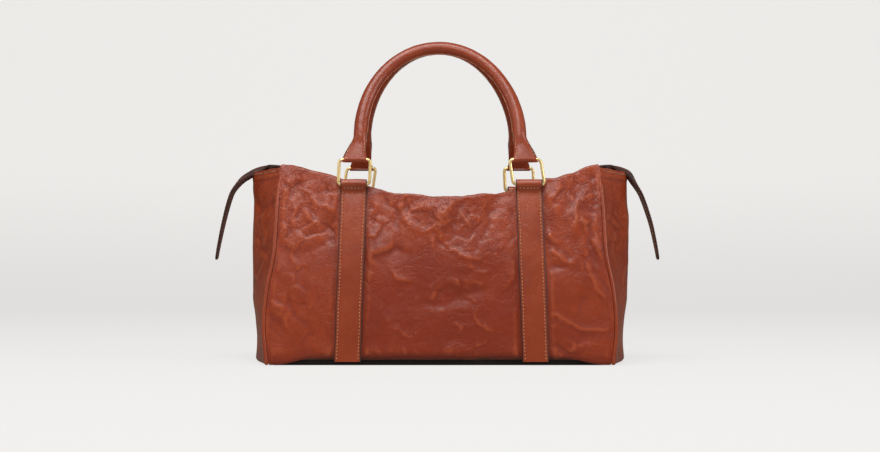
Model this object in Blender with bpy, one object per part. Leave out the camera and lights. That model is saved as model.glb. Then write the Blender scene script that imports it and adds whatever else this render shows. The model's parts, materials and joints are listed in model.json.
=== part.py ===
"""A soft leather satchel with two rolled top handles on rectangular rings, a recessed top zip and hanging zip ends.

Metres, +Z up, +X to the bag's right as seen from its front, which faces -Y. The origin is on the floor, in the
middle of the base. Every length is a named value below, and the pieces take their places from each other.
"""

import math

import bmesh
import bpy
from mathutils import Matrix, Vector

# Clearances
GAP = 0.0003
SEAM_GAP = 0.0004
CUT_OVERRUN = 0.002

# Body of the bag
BODY_HEIGHT = 0.2262
BASE_HALF_DEPTH = 0.080
TOP_HALF_DEPTH = 0.050
DEPTH_POWER = 1.5
SEAM_TOP_X = 0.180
SEAM_HEIGHT_SHARES = (0.0, 0.18, 0.36, 0.55, 0.78, 1.0)
SEAM_X_SHARES = (1.069, 1.092, 1.078, 1.036, 1.022, 1.0)
FOLD_REACH = 0.039
FOLD_HEIGHT_SHARES = (0.0, 0.12, 0.22, 0.34, 1.0)
FOLD_X_SHARES = (0.986, 0.978, 0.985, 1.0, 1.0)
FOLD_ROUND_SHARE = 0.15
MIDDLE_DIP = 0.037
DIP_POWER = 1.4
HEM_DROP = 0.0035
FOLD_DIP = 0.0018
LEATHER = 0.0022
PIPING_RADIUS = 0.0022
RIM_RADIUS = 0.004
PANEL_COLUMNS = 16
PANEL_ROWS = 8
GUSSET_COLUMNS = 10
RIM_STEPS = 3

# Inside the bag
BOARD_THICKNESS = 0.0025
BOARD_INSET = 0.008
LINING = 0.0008
LINING_SIDE_INSET = 0.004
LINING_END_SHARE = 0.8
LINING_COLUMNS = 8
LINING_ROWS = 8

# Rings, of round wire
RING_X = 0.097
RING_WIDTH = 0.0383
RING_HEIGHT = 0.0315
RING_WIRE = 0.0032
RING_CORNER = 0.0055
RING_BOTTOM = 0.2010
CORNER_STEPS = 3

# Straps down the panels
STRAP_WIDTH = 0.0295
STRAP_THICKNESS = 0.003
STRAP_HEAD_RADIUS = 0.0052
STRAP_SPREAD = 0.008
STRAP_NECK = 0.012
STRAP_STEPS = 8
HEAD_STEPS = 6

# Handles
HANDLE_RADIUS = 0.0072
HANDLE_LEATHER = 0.0016
HANDLE_INSET = 0.007
HANDLE_LEG = 0.0293
HANDLE_RISE = 0.106
HANDLE_LEG_POWER = 1.5
TAB_LEG_SHARE = 0.95
TAB_HALF_WIDTH = 0.0144
TAB_HALF_THICKNESS = 0.0026
TAB_HEAD_RADIUS = 0.0034
TAB_WIDTH_POWER = 1.6
TAB_THIN_POWER = 1.3
TAB_SECTION_POWER = 3.0
TAB_STATION_SHARES = (0.0, 0.2, 0.4, 0.6, 0.8, 1.0)
TAB_NECK_SHARE = 0.8
TAB_HEAD_SHARES = (0.6, 0.0, -0.6, -0.95)
CORE_INSET = 0.001
ARCH_STEPS = 12
HANDLE_SIDES = 10

# Zip along the top
ZIP_DROP = 0.003
MOUTH_HALF_LENGTH = 0.100
ZIP_FREE_LENGTH = 0.048
ZIP_END_INSET = 0.021
ZIP_END_HALF_WIDTH = 0.012
FACING = 0.0018
FACING_EDGE = 0.007
TAPE = 0.0006
TAPE_WIDTH = 0.0115
TEETH_HALF_WIDTH = 0.003
TEETH_HEIGHT = 0.0026
ZIP_STEPS = 10
ROOT_STEPS = 4

# Zip slider and its puller
SLIDER_PARKED = 0.008
SLIDER_LENGTH = 0.011
SLIDER_WALL = 0.0012
CROWN_HEIGHT = 0.0037
CROWN_FOOT = 0.0034
CROWN_TOP = 0.0022
CROWN_HALF_WIDTH = 0.001
CROWN_HOLE_RADIUS = 0.0014
PULLER_LENGTH = 0.026
PULLER_CLEARANCE = 0.004
PULLER_HALF_WIDTH = 0.0032
PULLER_TIP_HALF_WIDTH = 0.0024
PULLER_THICKNESS = 0.0012
PULLER_BAR = 0.0014
WINDOW_LENGTH = 0.0036

# Zip ends that run over the gussets and hang
TAIL_THICKNESS = 0.0032
TAIL_TIP_THICKNESS = 0.0022
TAIL_HALF_WIDTH = 0.010
TAIL_TIP_HALF_WIDTH = 0.006
TAIL_HINGE_LIFT = 0.0023
TAB_START_INSET = 0.037
TAB_CREST_INSET = 0.020
TAB_CREST_LIFT = 0.0047
TAB_START_DROP = 0.0014
TAIL_DROP = 0.1045
LEFT_TAIL_REACH = 0.0434
RIGHT_TAIL_REACH = 0.0370
TAIL_ROOT_SHARES = (0.97, 0.7, 0.0)
LEFT_REACH_SHARES = (0.092, 0.194, 0.323, 0.447, 0.56, 0.641, 0.721, 0.82, 0.908, 0.961, 1.0)
LEFT_DROP_SHARES = (0.022, 0.047, 0.089, 0.153, 0.235, 0.325, 0.44, 0.61, 0.785, 0.9, 1.0)
RIGHT_REACH_SHARES = (0.086, 0.157, 0.232, 0.324, 0.422, 0.524, 0.635, 0.781, 0.892, 0.954, 1.0)
RIGHT_DROP_SHARES = (0.02, 0.052, 0.105, 0.172, 0.244, 0.33, 0.44, 0.61, 0.785, 0.9, 1.0)
TAB_STEPS = 4

# Sizes that follow from the ones above
RIM_TOP = RIM_RADIUS + GAP
WIRE_RADIUS = RING_WIRE / 2
RING_HINGE_Z = RING_BOTTOM + WIRE_RADIUS
RING_BAR_Z = RING_BOTTOM + RING_HEIGHT - WIRE_RADIUS
FOLD_X = SEAM_TOP_X + FOLD_REACH
STRAP_FOOT_X = RING_X + STRAP_SPREAD
HANDLE_HALF_SPAN = RING_X - HANDLE_INSET
HANDLE_SPRING = RING_BAR_Z + HANDLE_LEG
HANDLE_APEX = HANDLE_SPRING + HANDLE_RISE
TUBE_FOOT = RING_BAR_Z + HANDLE_LEG * TAB_LEG_SHARE
ZIP_HEIGHT = BODY_HEIGHT - MIDDLE_DIP - ZIP_DROP
ZIP_END = FOLD_X - ZIP_END_INSET
ZIP_FREE_START = ZIP_END - ZIP_FREE_LENGTH
SLIDER_X = MOUTH_HALF_LENGTH + SLIDER_PARKED
ZIP_RISE_START = SLIDER_X + PULLER_LENGTH + PULLER_CLEARANCE
TAB_START_X = FOLD_X - TAB_START_INSET
TAB_CREST_X = FOLD_X - TAB_CREST_INSET
HANDLE_APEX_Y = HANDLE_RADIUS + GAP / 2
CORE_RADIUS = HANDLE_RADIUS - HANDLE_LEATHER - GAP
TAPE_DROP = (FACING + TAPE) / 2 + GAP
TAPE_EDGE = TEETH_HALF_WIDTH + GAP
ZIP_CENTRE_GAP = GAP / 2

# Colours: linear red, green and blue, then roughness and metallic
LEATHER_FINISH = ((0.262, 0.060, 0.030), 0.42, 0.0)
STRAP_FINISH = ((0.235, 0.055, 0.028), 0.45, 0.0)
TAIL_FINISH = ((0.060, 0.020, 0.013), 0.50, 0.0)
LINING_FINISH = ((0.090, 0.050, 0.032), 0.85, 0.0)
BOARD_FINISH = ((0.120, 0.095, 0.070), 0.90, 0.0)
CORD_FINISH = ((0.550, 0.480, 0.360), 0.90, 0.0)
TAPE_FINISH = ((0.070, 0.030, 0.020), 0.90, 0.0)
BRASS_FINISH = ((0.830, 0.600, 0.250), 0.22, 1.0)


def blend(start, end, share):
    return start + (end - start) * share


def ease(share):
    """0 to 1 with a level start and a level end."""
    share = min(max(share, 0.0), 1.0)
    return share * share * (3 - 2 * share)


def steps(start, end, count):
    return [blend(start, end, step / count) for step in range(count + 1)]


def curve_through(share, places, values):
    """A smooth curve through the values, which lie at the places, for one share between the first and the last."""
    last = len(places) - 1
    slopes = []
    for i in range(last + 1):
        before, after = max(i - 1, 0), min(i + 1, last)
        slopes.append((values[after] - values[before]) / (places[after] - places[before]))
    share = min(max(share, places[0]), places[last])
    i = max(k for k in range(last) if places[k] <= share)
    run = places[i + 1] - places[i]
    t = (share - places[i]) / run
    level = blend(values[i], values[i + 1], ease(t))
    return level + run * t * (1 - t) * (slopes[i] * (1 - t) - slopes[i + 1] * t)


# The body's shape


def depth_at(z):
    """How far the front panel's outer face is from the middle."""
    share = min(max(z / BODY_HEIGHT, 0.0), 1.0)
    return BASE_HALF_DEPTH - (BASE_HALF_DEPTH - TOP_HALF_DEPTH) * share**DEPTH_POWER


def seam_x(z):
    return SEAM_TOP_X * curve_through(z / BODY_HEIGHT, SEAM_HEIGHT_SHARES, SEAM_X_SHARES)


def fold_x(z):
    return FOLD_X * curve_through(z / BODY_HEIGHT, FOLD_HEIGHT_SHARES, FOLD_X_SHARES)


def panel_top(across):
    """Height of the panel's top edge, for a share across it from -1 to 1."""
    return BODY_HEIGHT - MIDDLE_DIP * (1 - abs(across) ** DIP_POWER)


def gusset_start(z):
    """Where the gusset's outer face begins, past the piping: its x, and its distance from the middle plane."""
    corner = Vector((seam_x(z), depth_at(z) - LEATHER / 2))
    along = (Vector((fold_x(z), 0.0)) - corner).normalized()
    outward = Vector((-along.y, along.x))
    return corner + along * (PIPING_RADIUS + SEAM_GAP) + outward * LEATHER / 2


def gusset_point(across, z):
    """A point of the right gusset's outer face, for a share across it from -1 at the front to 1 at the back."""
    start = gusset_start(z)
    sharp = math.sqrt(1 + FOLD_ROUND_SHARE**2) - FOLD_ROUND_SHARE
    inward = (math.sqrt(across**2 + FOLD_ROUND_SHARE**2) - FOLD_ROUND_SHARE) / sharp
    return Vector((blend(fold_x(z), start.x, inward), start.y * across, z))


def gusset_top(across):
    return BODY_HEIGHT - HEM_DROP - FOLD_DIP * (1 - across**2)


# Making objects


def principled(name, finish):
    colour, roughness, metallic = finish
    material = bpy.data.materials.new(name)
    material.use_nodes = True
    shader = material.node_tree.nodes["Principled BSDF"]
    shader.inputs["Base Color"].default_value = (*colour, 1.0)
    shader.inputs["Roughness"].default_value = roughness
    shader.inputs["Metallic"].default_value = metallic
    material.diffuse_color = (*colour, 1.0)
    return material


def place_of(obj):
    """World place of an object that isn't turned, nor are its parents."""
    return obj.location + (place_of(obj.parent) if obj.parent else Vector())


def add_object(name, data, pivot, finish=None):
    obj = bpy.data.objects.new(name, data)
    bpy.context.scene.collection.objects.link(obj)
    obj.parent = pivot
    if finish:
        data.materials.append(principled(name, finish))
    return obj


def add_pivot(name, place, parent=None):
    pivot = add_object(name, None, parent)
    pivot.location = Vector(place) - (place_of(parent) if parent else Vector())
    return pivot


def add_mesh(name, points, faces, finish, pivot, closed=True):
    """A mesh from world points. Its origin is the pivot. A closed one has its faces turned outwards."""
    origin = place_of(pivot)
    mesh = bpy.data.meshes.new(name)
    mesh.from_pydata([Vector(point) - origin for point in points], [], faces)
    if closed:
        shape = bmesh.new()
        shape.from_mesh(mesh)
        bmesh.ops.recalc_face_normals(shape, faces=shape.faces)
        shape.to_mesh(mesh)
        shape.free()
    mesh.shade_smooth()
    mesh.set_sharp_from_angle(angle=math.radians(40))
    return add_object(name, mesh, pivot, finish)


def grid_faces(rows, columns, wrap_rows=False, wrap_columns=False):
    faces = []
    for j in range(rows if wrap_rows else rows - 1):
        for i in range(columns if wrap_columns else columns - 1):
            over, up = (i + 1) % columns, (j + 1) % rows
            faces.append((j * columns + i, j * columns + over, up * columns + over, up * columns + i))
    return faces


def sheet(name, rows, thickness, finish, pivot):
    """A skin made solid inwards. Seen from outside, its rows run from left to right, the lowest row first."""
    points = [point for row in rows for point in row]
    obj = add_mesh(name, points, grid_faces(len(rows), len(rows[0])), finish, pivot, closed=False)
    solidify = obj.modifiers.new("Thickness", "SOLIDIFY")
    solidify.thickness = thickness
    solidify.offset = -1
    solidify.use_even_offset = True
    return obj


def loft(name, loops, finish, pivot, ring=False):
    """A solid through loops of points. A ring joins its last loop to its first, and any other has flat ends."""
    count = len(loops[0])
    faces = grid_faces(len(loops), count, wrap_rows=ring, wrap_columns=True)
    if not ring:
        faces.append(tuple(range(count)))
        faces.append(tuple(range((len(loops) - 1) * count, len(loops) * count)))
    return add_mesh(name, [point for loop in loops for point in loop], faces, finish, pivot)


def rod(name, points, radius, finish, pivot, cyclic=False):
    """A round rod along a line of points."""
    origin = place_of(pivot)
    curve = bpy.data.curves.new(name, "CURVE")
    curve.dimensions = "3D"
    curve.bevel_depth = radius
    curve.bevel_resolution = 1
    curve.use_fill_caps = True
    spline = curve.splines.new("POLY")
    spline.points.add(len(points) - 1)
    for knot, point in zip(spline.points, points):
        knot.co = (*(Vector(point) - origin), 1.0)
    spline.use_cyclic_u = cyclic
    spline.use_smooth = True
    return add_object(name, curve, pivot, finish)


def as_guide(obj):
    obj.hide_render = True
    obj.display_type = "WIRE"
    return obj


def boolean(obj, operation, other):
    modifier = obj.modifiers.new(operation.title(), "BOOLEAN")
    modifier.operation = operation
    modifier.object = other
    modifier.solver = "EXACT"


def hole_cutter(name, centre, direction, radius, half_length, pivot):
    """A round cutter through the centre, along the direction."""
    shape = bmesh.new()
    turn = Vector((0, 0, 1)).rotation_difference(Vector(direction)).to_matrix().to_4x4()
    bmesh.ops.create_cone(
        shape, cap_ends=True, segments=12, radius1=radius, radius2=radius, depth=2 * half_length,
        matrix=Matrix.Translation(Vector(centre) - place_of(pivot)) @ turn,
    )
    mesh = bpy.data.meshes.new(name)
    shape.to_mesh(mesh)
    shape.free()
    return as_guide(add_object(name, mesh, pivot))


def both_ways(rows, side):
    """Rows of a piece of the right or front half, turned to the side that is asked for: 1 keeps them, -1 mirrors X."""
    if side > 0:
        return rows
    return [[Vector((-point.x, point.y, point.z)) for point in reversed(row)] for row in rows]


def facing_side(rows, side):
    """Rows of a piece of the front, kept for -1 and turned half round for the back, 1."""
    if side < 0:
        return rows
    return [[Vector((-point.x, -point.y, point.z)) for point in row] for row in rows]


# Panels, gussets, base and lining


def panel_rows(columns, row_count, inset, side_inset, top):
    """Rows of the front panel's outer face, set inwards by an inset. The top is a function of the share across."""
    rows = []
    for j in range(row_count + 1):
        row = []
        for across in steps(-1.0, 1.0, columns):
            z = blend(RIM_TOP, top(across), j / row_count)
            edge = seam_x(z) - PIPING_RADIUS - GAP - side_inset
            row.append(Vector((edge * across, inset - depth_at(z), z)))
        rows.append(row)
    return rows


def gusset_rows(columns, row_count, inset, end_share, top):
    rows = []
    for j in range(row_count + 1):
        row = []
        for across in steps(-end_share, end_share, columns):
            z = blend(RIM_TOP, top(across), j / row_count)
            row.append(gusset_point(across, z) - Vector((inset, 0, 0)))
        rows.append(row)
    return rows


def outline(z, inset):
    """The base's outline at a height, drawn in by an inset."""
    front = Vector((seam_x(z) + PIPING_RADIUS / 2, -depth_at(z)))
    right = [front]
    right += [gusset_point(across, z).xy for across in steps(-1.0, 1.0, GUSSET_COLUMNS)]
    right.append(Vector((front.x, -front.y)))
    whole = right + [-point for point in right]
    shrink_x = 1 - inset / fold_x(z)
    shrink_y = 1 - inset / depth_at(z)
    return [Vector((point.x * shrink_x, point.y * shrink_y)) for point in whole]


def slab(name, low, high, finish, pivot):
    """A flat plate of the base's outline, clear of the rounded rim and the linings."""
    loops = [[Vector((*point, z)) for point in outline(RIM_RADIUS, BOARD_INSET)] for z in (low, high)]
    return loft(name, loops, finish, pivot)


def base_panel(pivot):
    """The base leather, turned up all round into a low rounded rim."""
    loops = []
    for angle in steps(0.0, math.pi / 2, RIM_STEPS):
        z = RIM_RADIUS * (1 - math.cos(angle))
        inset = RIM_RADIUS * (1 - math.sin(angle))
        loops.append([Vector((*point, z)) for point in outline(RIM_RADIUS, inset)])
    inner = RIM_RADIUS - LEATHER
    for angle in steps(math.pi / 2, 0.0, RIM_STEPS):
        z = RIM_RADIUS - inner * math.cos(angle)
        inset = RIM_RADIUS - inner * math.sin(angle)
        loops.append([Vector((*point, z)) for point in outline(RIM_RADIUS, inset)])
    return loft("base_panel", loops, LEATHER_FINISH, pivot)


def body_shell(pivot):
    lining_top = ZIP_HEIGHT - FACING / 2 - TAPE_DROP - TEETH_HEIGHT / 2 - GAP
    for side, name in ((-1, "front"), (1, "back")):
        rows = panel_rows(PANEL_COLUMNS, PANEL_ROWS, 0.0, 0.0, panel_top)
        sheet(name + "_panel", facing_side(rows, side), LEATHER, LEATHER_FINISH, pivot)
        rows = panel_rows(LINING_COLUMNS, LINING_ROWS, LEATHER + GAP, LINING_SIDE_INSET, lambda across: lining_top)
        sheet(name + "_lining", facing_side(rows, side), LINING, LINING_FINISH, pivot)
    steepest = math.hypot(1.0, (fold_x(BODY_HEIGHT) - gusset_start(BODY_HEIGHT).x) / gusset_start(BODY_HEIGHT).y)
    lining_inset = (LEATHER + 2 * SEAM_GAP) * steepest
    for side, name in ((-1, "left"), (1, "right")):
        rows = gusset_rows(GUSSET_COLUMNS, PANEL_ROWS, 0.0, 1.0, gusset_top)
        sheet(name + "_gusset", both_ways(rows, side), LEATHER, LEATHER_FINISH, pivot)
        rows = gusset_rows(LINING_COLUMNS, LINING_ROWS, lining_inset, LINING_END_SHARE, lambda across: lining_top)
        sheet(name + "_lining", both_ways(rows, side), LINING, LINING_FINISH, pivot)
    base_panel(pivot)
    board_low = LEATHER + GAP
    board_high = board_low + BOARD_THICKNESS
    slab("base_board", board_low, board_high, BOARD_FINISH, pivot)
    lining_low = board_high + GAP
    slab("base_lining", lining_low, lining_low + LINING, LINING_FINISH, pivot)


def piping(pivot):
    """A round welt up each corner seam, between a panel and a gusset."""
    for side_x, name_x in ((-1, "left"), (1, "right")):
        for side_y, name_y in ((-1, "front"), (1, "back")):
            points = []
            for z in steps(RIM_TOP, BODY_HEIGHT, PANEL_ROWS):
                points.append((side_x * seam_x(z), side_y * (depth_at(z) - LEATHER / 2), z))
            rod(f"{name_y}_{name_x}_piping", points, PIPING_RADIUS, LEATHER_FINISH, pivot)


# Straps and rings


def ring_y():
    """Distance of the rings' plane from the middle: the strap's head just clears the panel."""
    return depth_at(RING_HINGE_Z) + GAP + STRAP_HEAD_RADIUS


def strap_profile():
    """The front strap from its side, as (y, z): up the outer face, over the ring's bar and down the panel."""
    neck = RING_HINGE_Z - STRAP_NECK
    profile = [(-(depth_at(z) + GAP + STRAP_THICKNESS), z) for z in steps(RIM_TOP, neck, STRAP_STEPS)]
    for angle in steps(-math.pi / 9, math.pi, HEAD_STEPS):
        y = -ring_y() - STRAP_HEAD_RADIUS * math.cos(angle)
        profile.append((y, RING_HINGE_Z + STRAP_HEAD_RADIUS * math.sin(angle)))
    profile += [(-(depth_at(z) + GAP), z) for z in steps(RING_HINGE_Z - STRAP_HEAD_RADIUS, RIM_TOP, STRAP_STEPS)]
    return profile


def straps(pivot):
    for side_x, name_x in ((-1, "left"), (1, "right")):
        for side_y, name_y in ((-1, "front"), (1, "back")):
            loops = []
            for edge in (-STRAP_WIDTH / 2, STRAP_WIDTH / 2):
                loop = []
                for y, z in strap_profile():
                    middle = blend(STRAP_FOOT_X, RING_X, z / RING_HINGE_Z)
                    loop.append(Vector((side_x * (middle + edge), -side_y * y, z)))
                loops.append(loop)
            name = f"{name_y}_{name_x}_strap"
            strap = loft(name, loops, STRAP_FINISH, pivot)
            centre = (side_x * RING_X, side_y * ring_y(), RING_HINGE_Z)
            half_length = STRAP_WIDTH / 2 + CUT_OVERRUN
            cutter = hole_cutter(name + "_hole", centre, (1, 0, 0), WIRE_RADIUS + GAP, half_length, pivot)
            boolean(strap, "DIFFERENCE", cutter)


def ring(name, centre, pivot):
    """A rectangular ring of round wire, standing up."""
    half_x = RING_WIDTH / 2 - WIRE_RADIUS
    half_z = RING_HEIGHT / 2 - WIRE_RADIUS
    radius = RING_CORNER - WIRE_RADIUS
    points = []
    for quarter, (sign_x, sign_z) in enumerate(((1, 1), (-1, 1), (-1, -1), (1, -1))):
        for angle in steps(quarter * math.pi / 2, (quarter + 1) * math.pi / 2, CORNER_STEPS):
            x = sign_x * (half_x - radius) + radius * math.cos(angle)
            z = sign_z * (half_z - radius) + radius * math.sin(angle)
            points.append(centre + Vector((x, 0, z)))
    return rod(name, points, WIRE_RADIUS, BRASS_FINISH, pivot, cyclic=True)


# Handles


def handle_lean():
    """How far the handle comes inwards for each metre that it rises."""
    return (ring_y() - HANDLE_APEX_Y) / (HANDLE_APEX - RING_BAR_Z)


def on_handle(x, z):
    """A point of the front handle's plane."""
    return Vector((x, (z - RING_BAR_Z) * handle_lean() - ring_y(), z))


def leg_x(z):
    share = (HANDLE_SPRING - z) / (HANDLE_SPRING - RING_BAR_Z)
    return blend(HANDLE_HALF_SPAN, RING_X, share**HANDLE_LEG_POWER)


def leg_direction(z):
    """Up along the right leg: the slope of leg_x at this height."""
    leg = HANDLE_SPRING - RING_BAR_Z
    share = (HANDLE_SPRING - z) / leg
    slope = (RING_X - HANDLE_HALF_SPAN) * HANDLE_LEG_POWER * share ** (HANDLE_LEG_POWER - 1) / leg
    return Vector((-slope, handle_lean(), 1)).normalized()


def handle_line(foot):
    """Points and directions of the handle's middle line, from the left leg's foot over the arch to the right one."""
    half = [(on_handle(leg_x(foot), foot), leg_direction(foot))]
    rise = HANDLE_APEX - HANDLE_SPRING
    for angle in steps(0.0, math.pi / 2, ARCH_STEPS):
        point = on_handle(HANDLE_HALF_SPAN * math.cos(angle), HANDLE_SPRING + rise * math.sin(angle))
        along = Vector((-HANDLE_HALF_SPAN * math.sin(angle), rise * handle_lean() * math.cos(angle), rise * math.cos(angle)))
        half.append((point, along.normalized()))
    left = [(Vector((-p.x, p.y, p.z)), Vector((-d.x, d.y, d.z))) for p, d in half]
    right = [(point, -along) for point, along in reversed(half[:-1])]
    return left + right


def handle_section(point, along, half_width, half_thickness, power, sides):
    """A loop square to the handle's line: a circle at power 2, and squarer above."""
    normal = Vector((0, -1, handle_lean())).normalized()
    across = normal.cross(along).normalized()
    loop = []
    for k in range(sides):
        angle = 2 * math.pi * k / sides
        c, s = math.cos(angle), math.sin(angle)
        x = math.copysign(abs(c) ** (2 / power), c) * half_width
        y = math.copysign(abs(s) ** (2 / power), s) * half_thickness
        loop.append(point + across * x + normal * y)
    return loop


def turned(loops, side):
    """Loops of the front handle, kept for -1 and turned half round for the back, 1."""
    if side < 0:
        return loops
    return [[Vector((-point.x, -point.y, point.z)) for point in loop] for loop in loops]


def handle_tab(name, side_x, side_y, pivot):
    """The flat end of a handle: it leaves the roll round, widens, thins and wraps the ring's top bar."""
    neck = RING_BAR_Z + TAB_HEAD_RADIUS * TAB_NECK_SHARE
    stations = []
    for share in TAB_STATION_SHARES:
        start = TUBE_FOOT - GAP if share == 0 else TUBE_FOOT
        z = blend(start, neck, share)
        width = blend(HANDLE_RADIUS, TAB_HALF_WIDTH, share**TAB_WIDTH_POWER)
        thin = blend(TAB_HALF_THICKNESS, HANDLE_RADIUS, (1 - share) ** TAB_THIN_POWER)
        stations.append((z, width, thin, blend(2.0, TAB_SECTION_POWER, share)))
    for share in TAB_HEAD_SHARES:
        thin = TAB_HEAD_RADIUS * math.sqrt(1 - share**2)
        stations.append((RING_BAR_Z + TAB_HEAD_RADIUS * share, TAB_HALF_WIDTH, thin, TAB_SECTION_POWER))
    loops = []
    for z, width, thin, power in stations:
        straight = z < neck + GAP
        point = on_handle(RING_X if straight else leg_x(z), z)
        along = Vector((0, handle_lean(), 1)).normalized() if straight else leg_direction(z)
        loop = handle_section(point, along, width, thin, power, HANDLE_SIDES)
        loops.append([Vector((-side_x * side_y * p.x, p.y, p.z)) for p in loop])
    tab = loft(name, turned(loops, side_y), LEATHER_FINISH, pivot)
    centre = (side_x * RING_X, side_y * ring_y(), RING_BAR_Z)
    half_length = TAB_HALF_WIDTH + CUT_OVERRUN
    cutter = hole_cutter(name + "_hole", centre, (1, 0, 0), WIRE_RADIUS + GAP, half_length, pivot)
    boolean(tab, "DIFFERENCE", cutter)


def handle(name, side, pivot):
    """The rolled leather over its cord, and a flat tab at each end."""
    outer = []
    inner = []
    core = []
    for point, along in handle_line(TUBE_FOOT):
        outer.append(handle_section(point, along, HANDLE_RADIUS, HANDLE_RADIUS, 2.0, HANDLE_SIDES))
        bore = HANDLE_RADIUS - HANDLE_LEATHER
        inner.append(handle_section(point, along, bore, bore, 2.0, HANDLE_SIDES))
    for point, along in handle_line(TUBE_FOOT + CORE_INSET):
        core.append(handle_section(point, along, CORE_RADIUS, CORE_RADIUS, 2.0, HANDLE_SIDES))
    loft(name + "_cover", turned(outer + inner[::-1], side), LEATHER_FINISH, pivot, ring=True)
    loft(name + "_core", turned(core, side), CORD_FINISH, pivot)
    handle_tab(name + "_left_tab", -1, side, pivot)
    handle_tab(name + "_right_tab", 1, side, pivot)


def handles_and_rings(bag):
    for side, name in ((-1, "front"), (1, "back")):
        pivots = {}
        for side_x, name_x in ((-1, "left"), (1, "right")):
            foot = Vector((side_x * RING_X, side * ring_y(), RING_HINGE_Z))
            pivots[name_x] = add_pivot(f"{name}_{name_x}_ring_pivot", foot, bag)
            centre = foot + Vector((0, 0, RING_HEIGHT / 2 - WIRE_RADIUS))
            ring(f"{name}_{name_x}_ring", centre, pivots[name_x])
        bar = Vector((-RING_X, side * ring_y(), RING_BAR_Z))
        handle(name + "_handle", side, add_pivot(name + "_handle_pivot", bar, pivots["left"]))


# Zip


def zip_z(x):
    """Height of the zip's middle plane: level along the mouth, then up to the tab at each end."""
    top = tab_height(ZIP_END) - TAIL_THICKNESS / 2 - GAP - FACING / 2
    return blend(ZIP_HEIGHT, top, ease((abs(x) - ZIP_RISE_START) / (ZIP_END - ZIP_RISE_START)))


def facing_edge(x):
    """Distance of the facing's sewn edge from the middle. Past the last stitch the zip's end is free and narrows."""
    wall = depth_at(zip_z(x)) - LEATHER - GAP
    free = depth_at(zip_z(ZIP_FREE_START)) - LEATHER - GAP
    share = (abs(x) - ZIP_FREE_START) / (ZIP_END - ZIP_FREE_START)
    return min(wall, blend(free, ZIP_END_HALF_WIDTH, ease(share)))


def tape_edge(x):
    return TAPE_EDGE + TAPE_WIDTH


def teeth_edge(x):
    return TEETH_HALF_WIDTH


def flap_hinge_y():
    return depth_at(ZIP_HEIGHT + FACING / 2) - LEATHER - GAP - FACING / 2


def end_strip(name, side_x, side_y, near, far, drop, thickness, finish, pivot):
    """A strip of a closed zip end, between two distances from the middle, that follows the zip's rise."""
    loops = []
    for x in steps(MOUTH_HALF_LENGTH + GAP, ZIP_END, ZIP_STEPS):
        reach = (ZIP_END - MOUTH_HALF_LENGTH) / ZIP_STEPS / 2
        rise = Vector((2 * reach, zip_z(x + reach) - zip_z(x - reach))).normalized()
        loop = []
        for y, lift in ((near, -1), (far(x), -1), (far(x), 1), (near, 1)):
            height = lift * thickness / 2 - drop
            loop.append(Vector((side_x * (x - rise.y * height), side_y * y, zip_z(x) + rise.x * height)))
        loops.append(loop)
    loft(name, loops, finish, pivot)


def zip_ends(pivot):
    """The two closed ends of the zip, sewn into the bag."""
    for side_x, name_x in ((-1, "left"), (1, "right")):
        for side_y, name_y in ((-1, "front"), (1, "back")):
            name = f"{name_x}_end_{name_y}"
            end_strip(name + "_facing", side_x, side_y, FACING_EDGE, facing_edge, 0.0, FACING, STRAP_FINISH, pivot)
            end_strip(name + "_tape", side_x, side_y, TAPE_EDGE, tape_edge, TAPE_DROP, TAPE, TAPE_FINISH, pivot)
        teeth = (-TEETH_HALF_WIDTH, teeth_edge, TAPE_DROP, TEETH_HEIGHT, BRASS_FINISH)
        end_strip(name_x + "_end_teeth", side_x, 1, *teeth, pivot)


def mouth_bar(name, side, near, far, drop, thickness, finish, pivot, round_root=False):
    """A straight bar along the mouth, between two distances from the middle. A round root turns on the hinge."""
    z = ZIP_HEIGHT - drop
    profile = [(far, z - thickness / 2), (near, z - thickness / 2), (near, z + thickness / 2), (far, z + thickness / 2)]
    if round_root:
        profile = profile[1:3]
        for angle in steps(math.pi / 2, -math.pi / 2, ROOT_STEPS):
            profile.append((far + thickness / 2 * math.cos(angle), z + thickness / 2 * math.sin(angle)))
    loops = [[Vector((x, side * y, z)) for y, z in profile] for x in (-MOUTH_HALF_LENGTH, MOUTH_HALF_LENGTH)]
    loft(name, loops, finish, pivot)


def zip_flaps(bag):
    """The two halves of the zip between the closed ends, each turning up along its sewn edge."""
    for side, name in ((-1, "front"), (1, "back")):
        pivot = add_pivot(name + "_flap_pivot", (0.0, side * flap_hinge_y(), ZIP_HEIGHT), bag)
        facing = (FACING_EDGE, flap_hinge_y(), 0.0, FACING, STRAP_FINISH)
        mouth_bar(name + "_flap_facing", side, *facing, pivot, round_root=True)
        tape = (TAPE_EDGE, TAPE_EDGE + TAPE_WIDTH, TAPE_DROP, TAPE, TAPE_FINISH)
        mouth_bar(name + "_flap_tape", side, *tape, pivot)
        teeth = (ZIP_CENTRE_GAP, TEETH_HALF_WIDTH, TAPE_DROP, TEETH_HEIGHT, BRASS_FINISH)
        mouth_bar(name + "_flap_teeth", side, *teeth, pivot)


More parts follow.
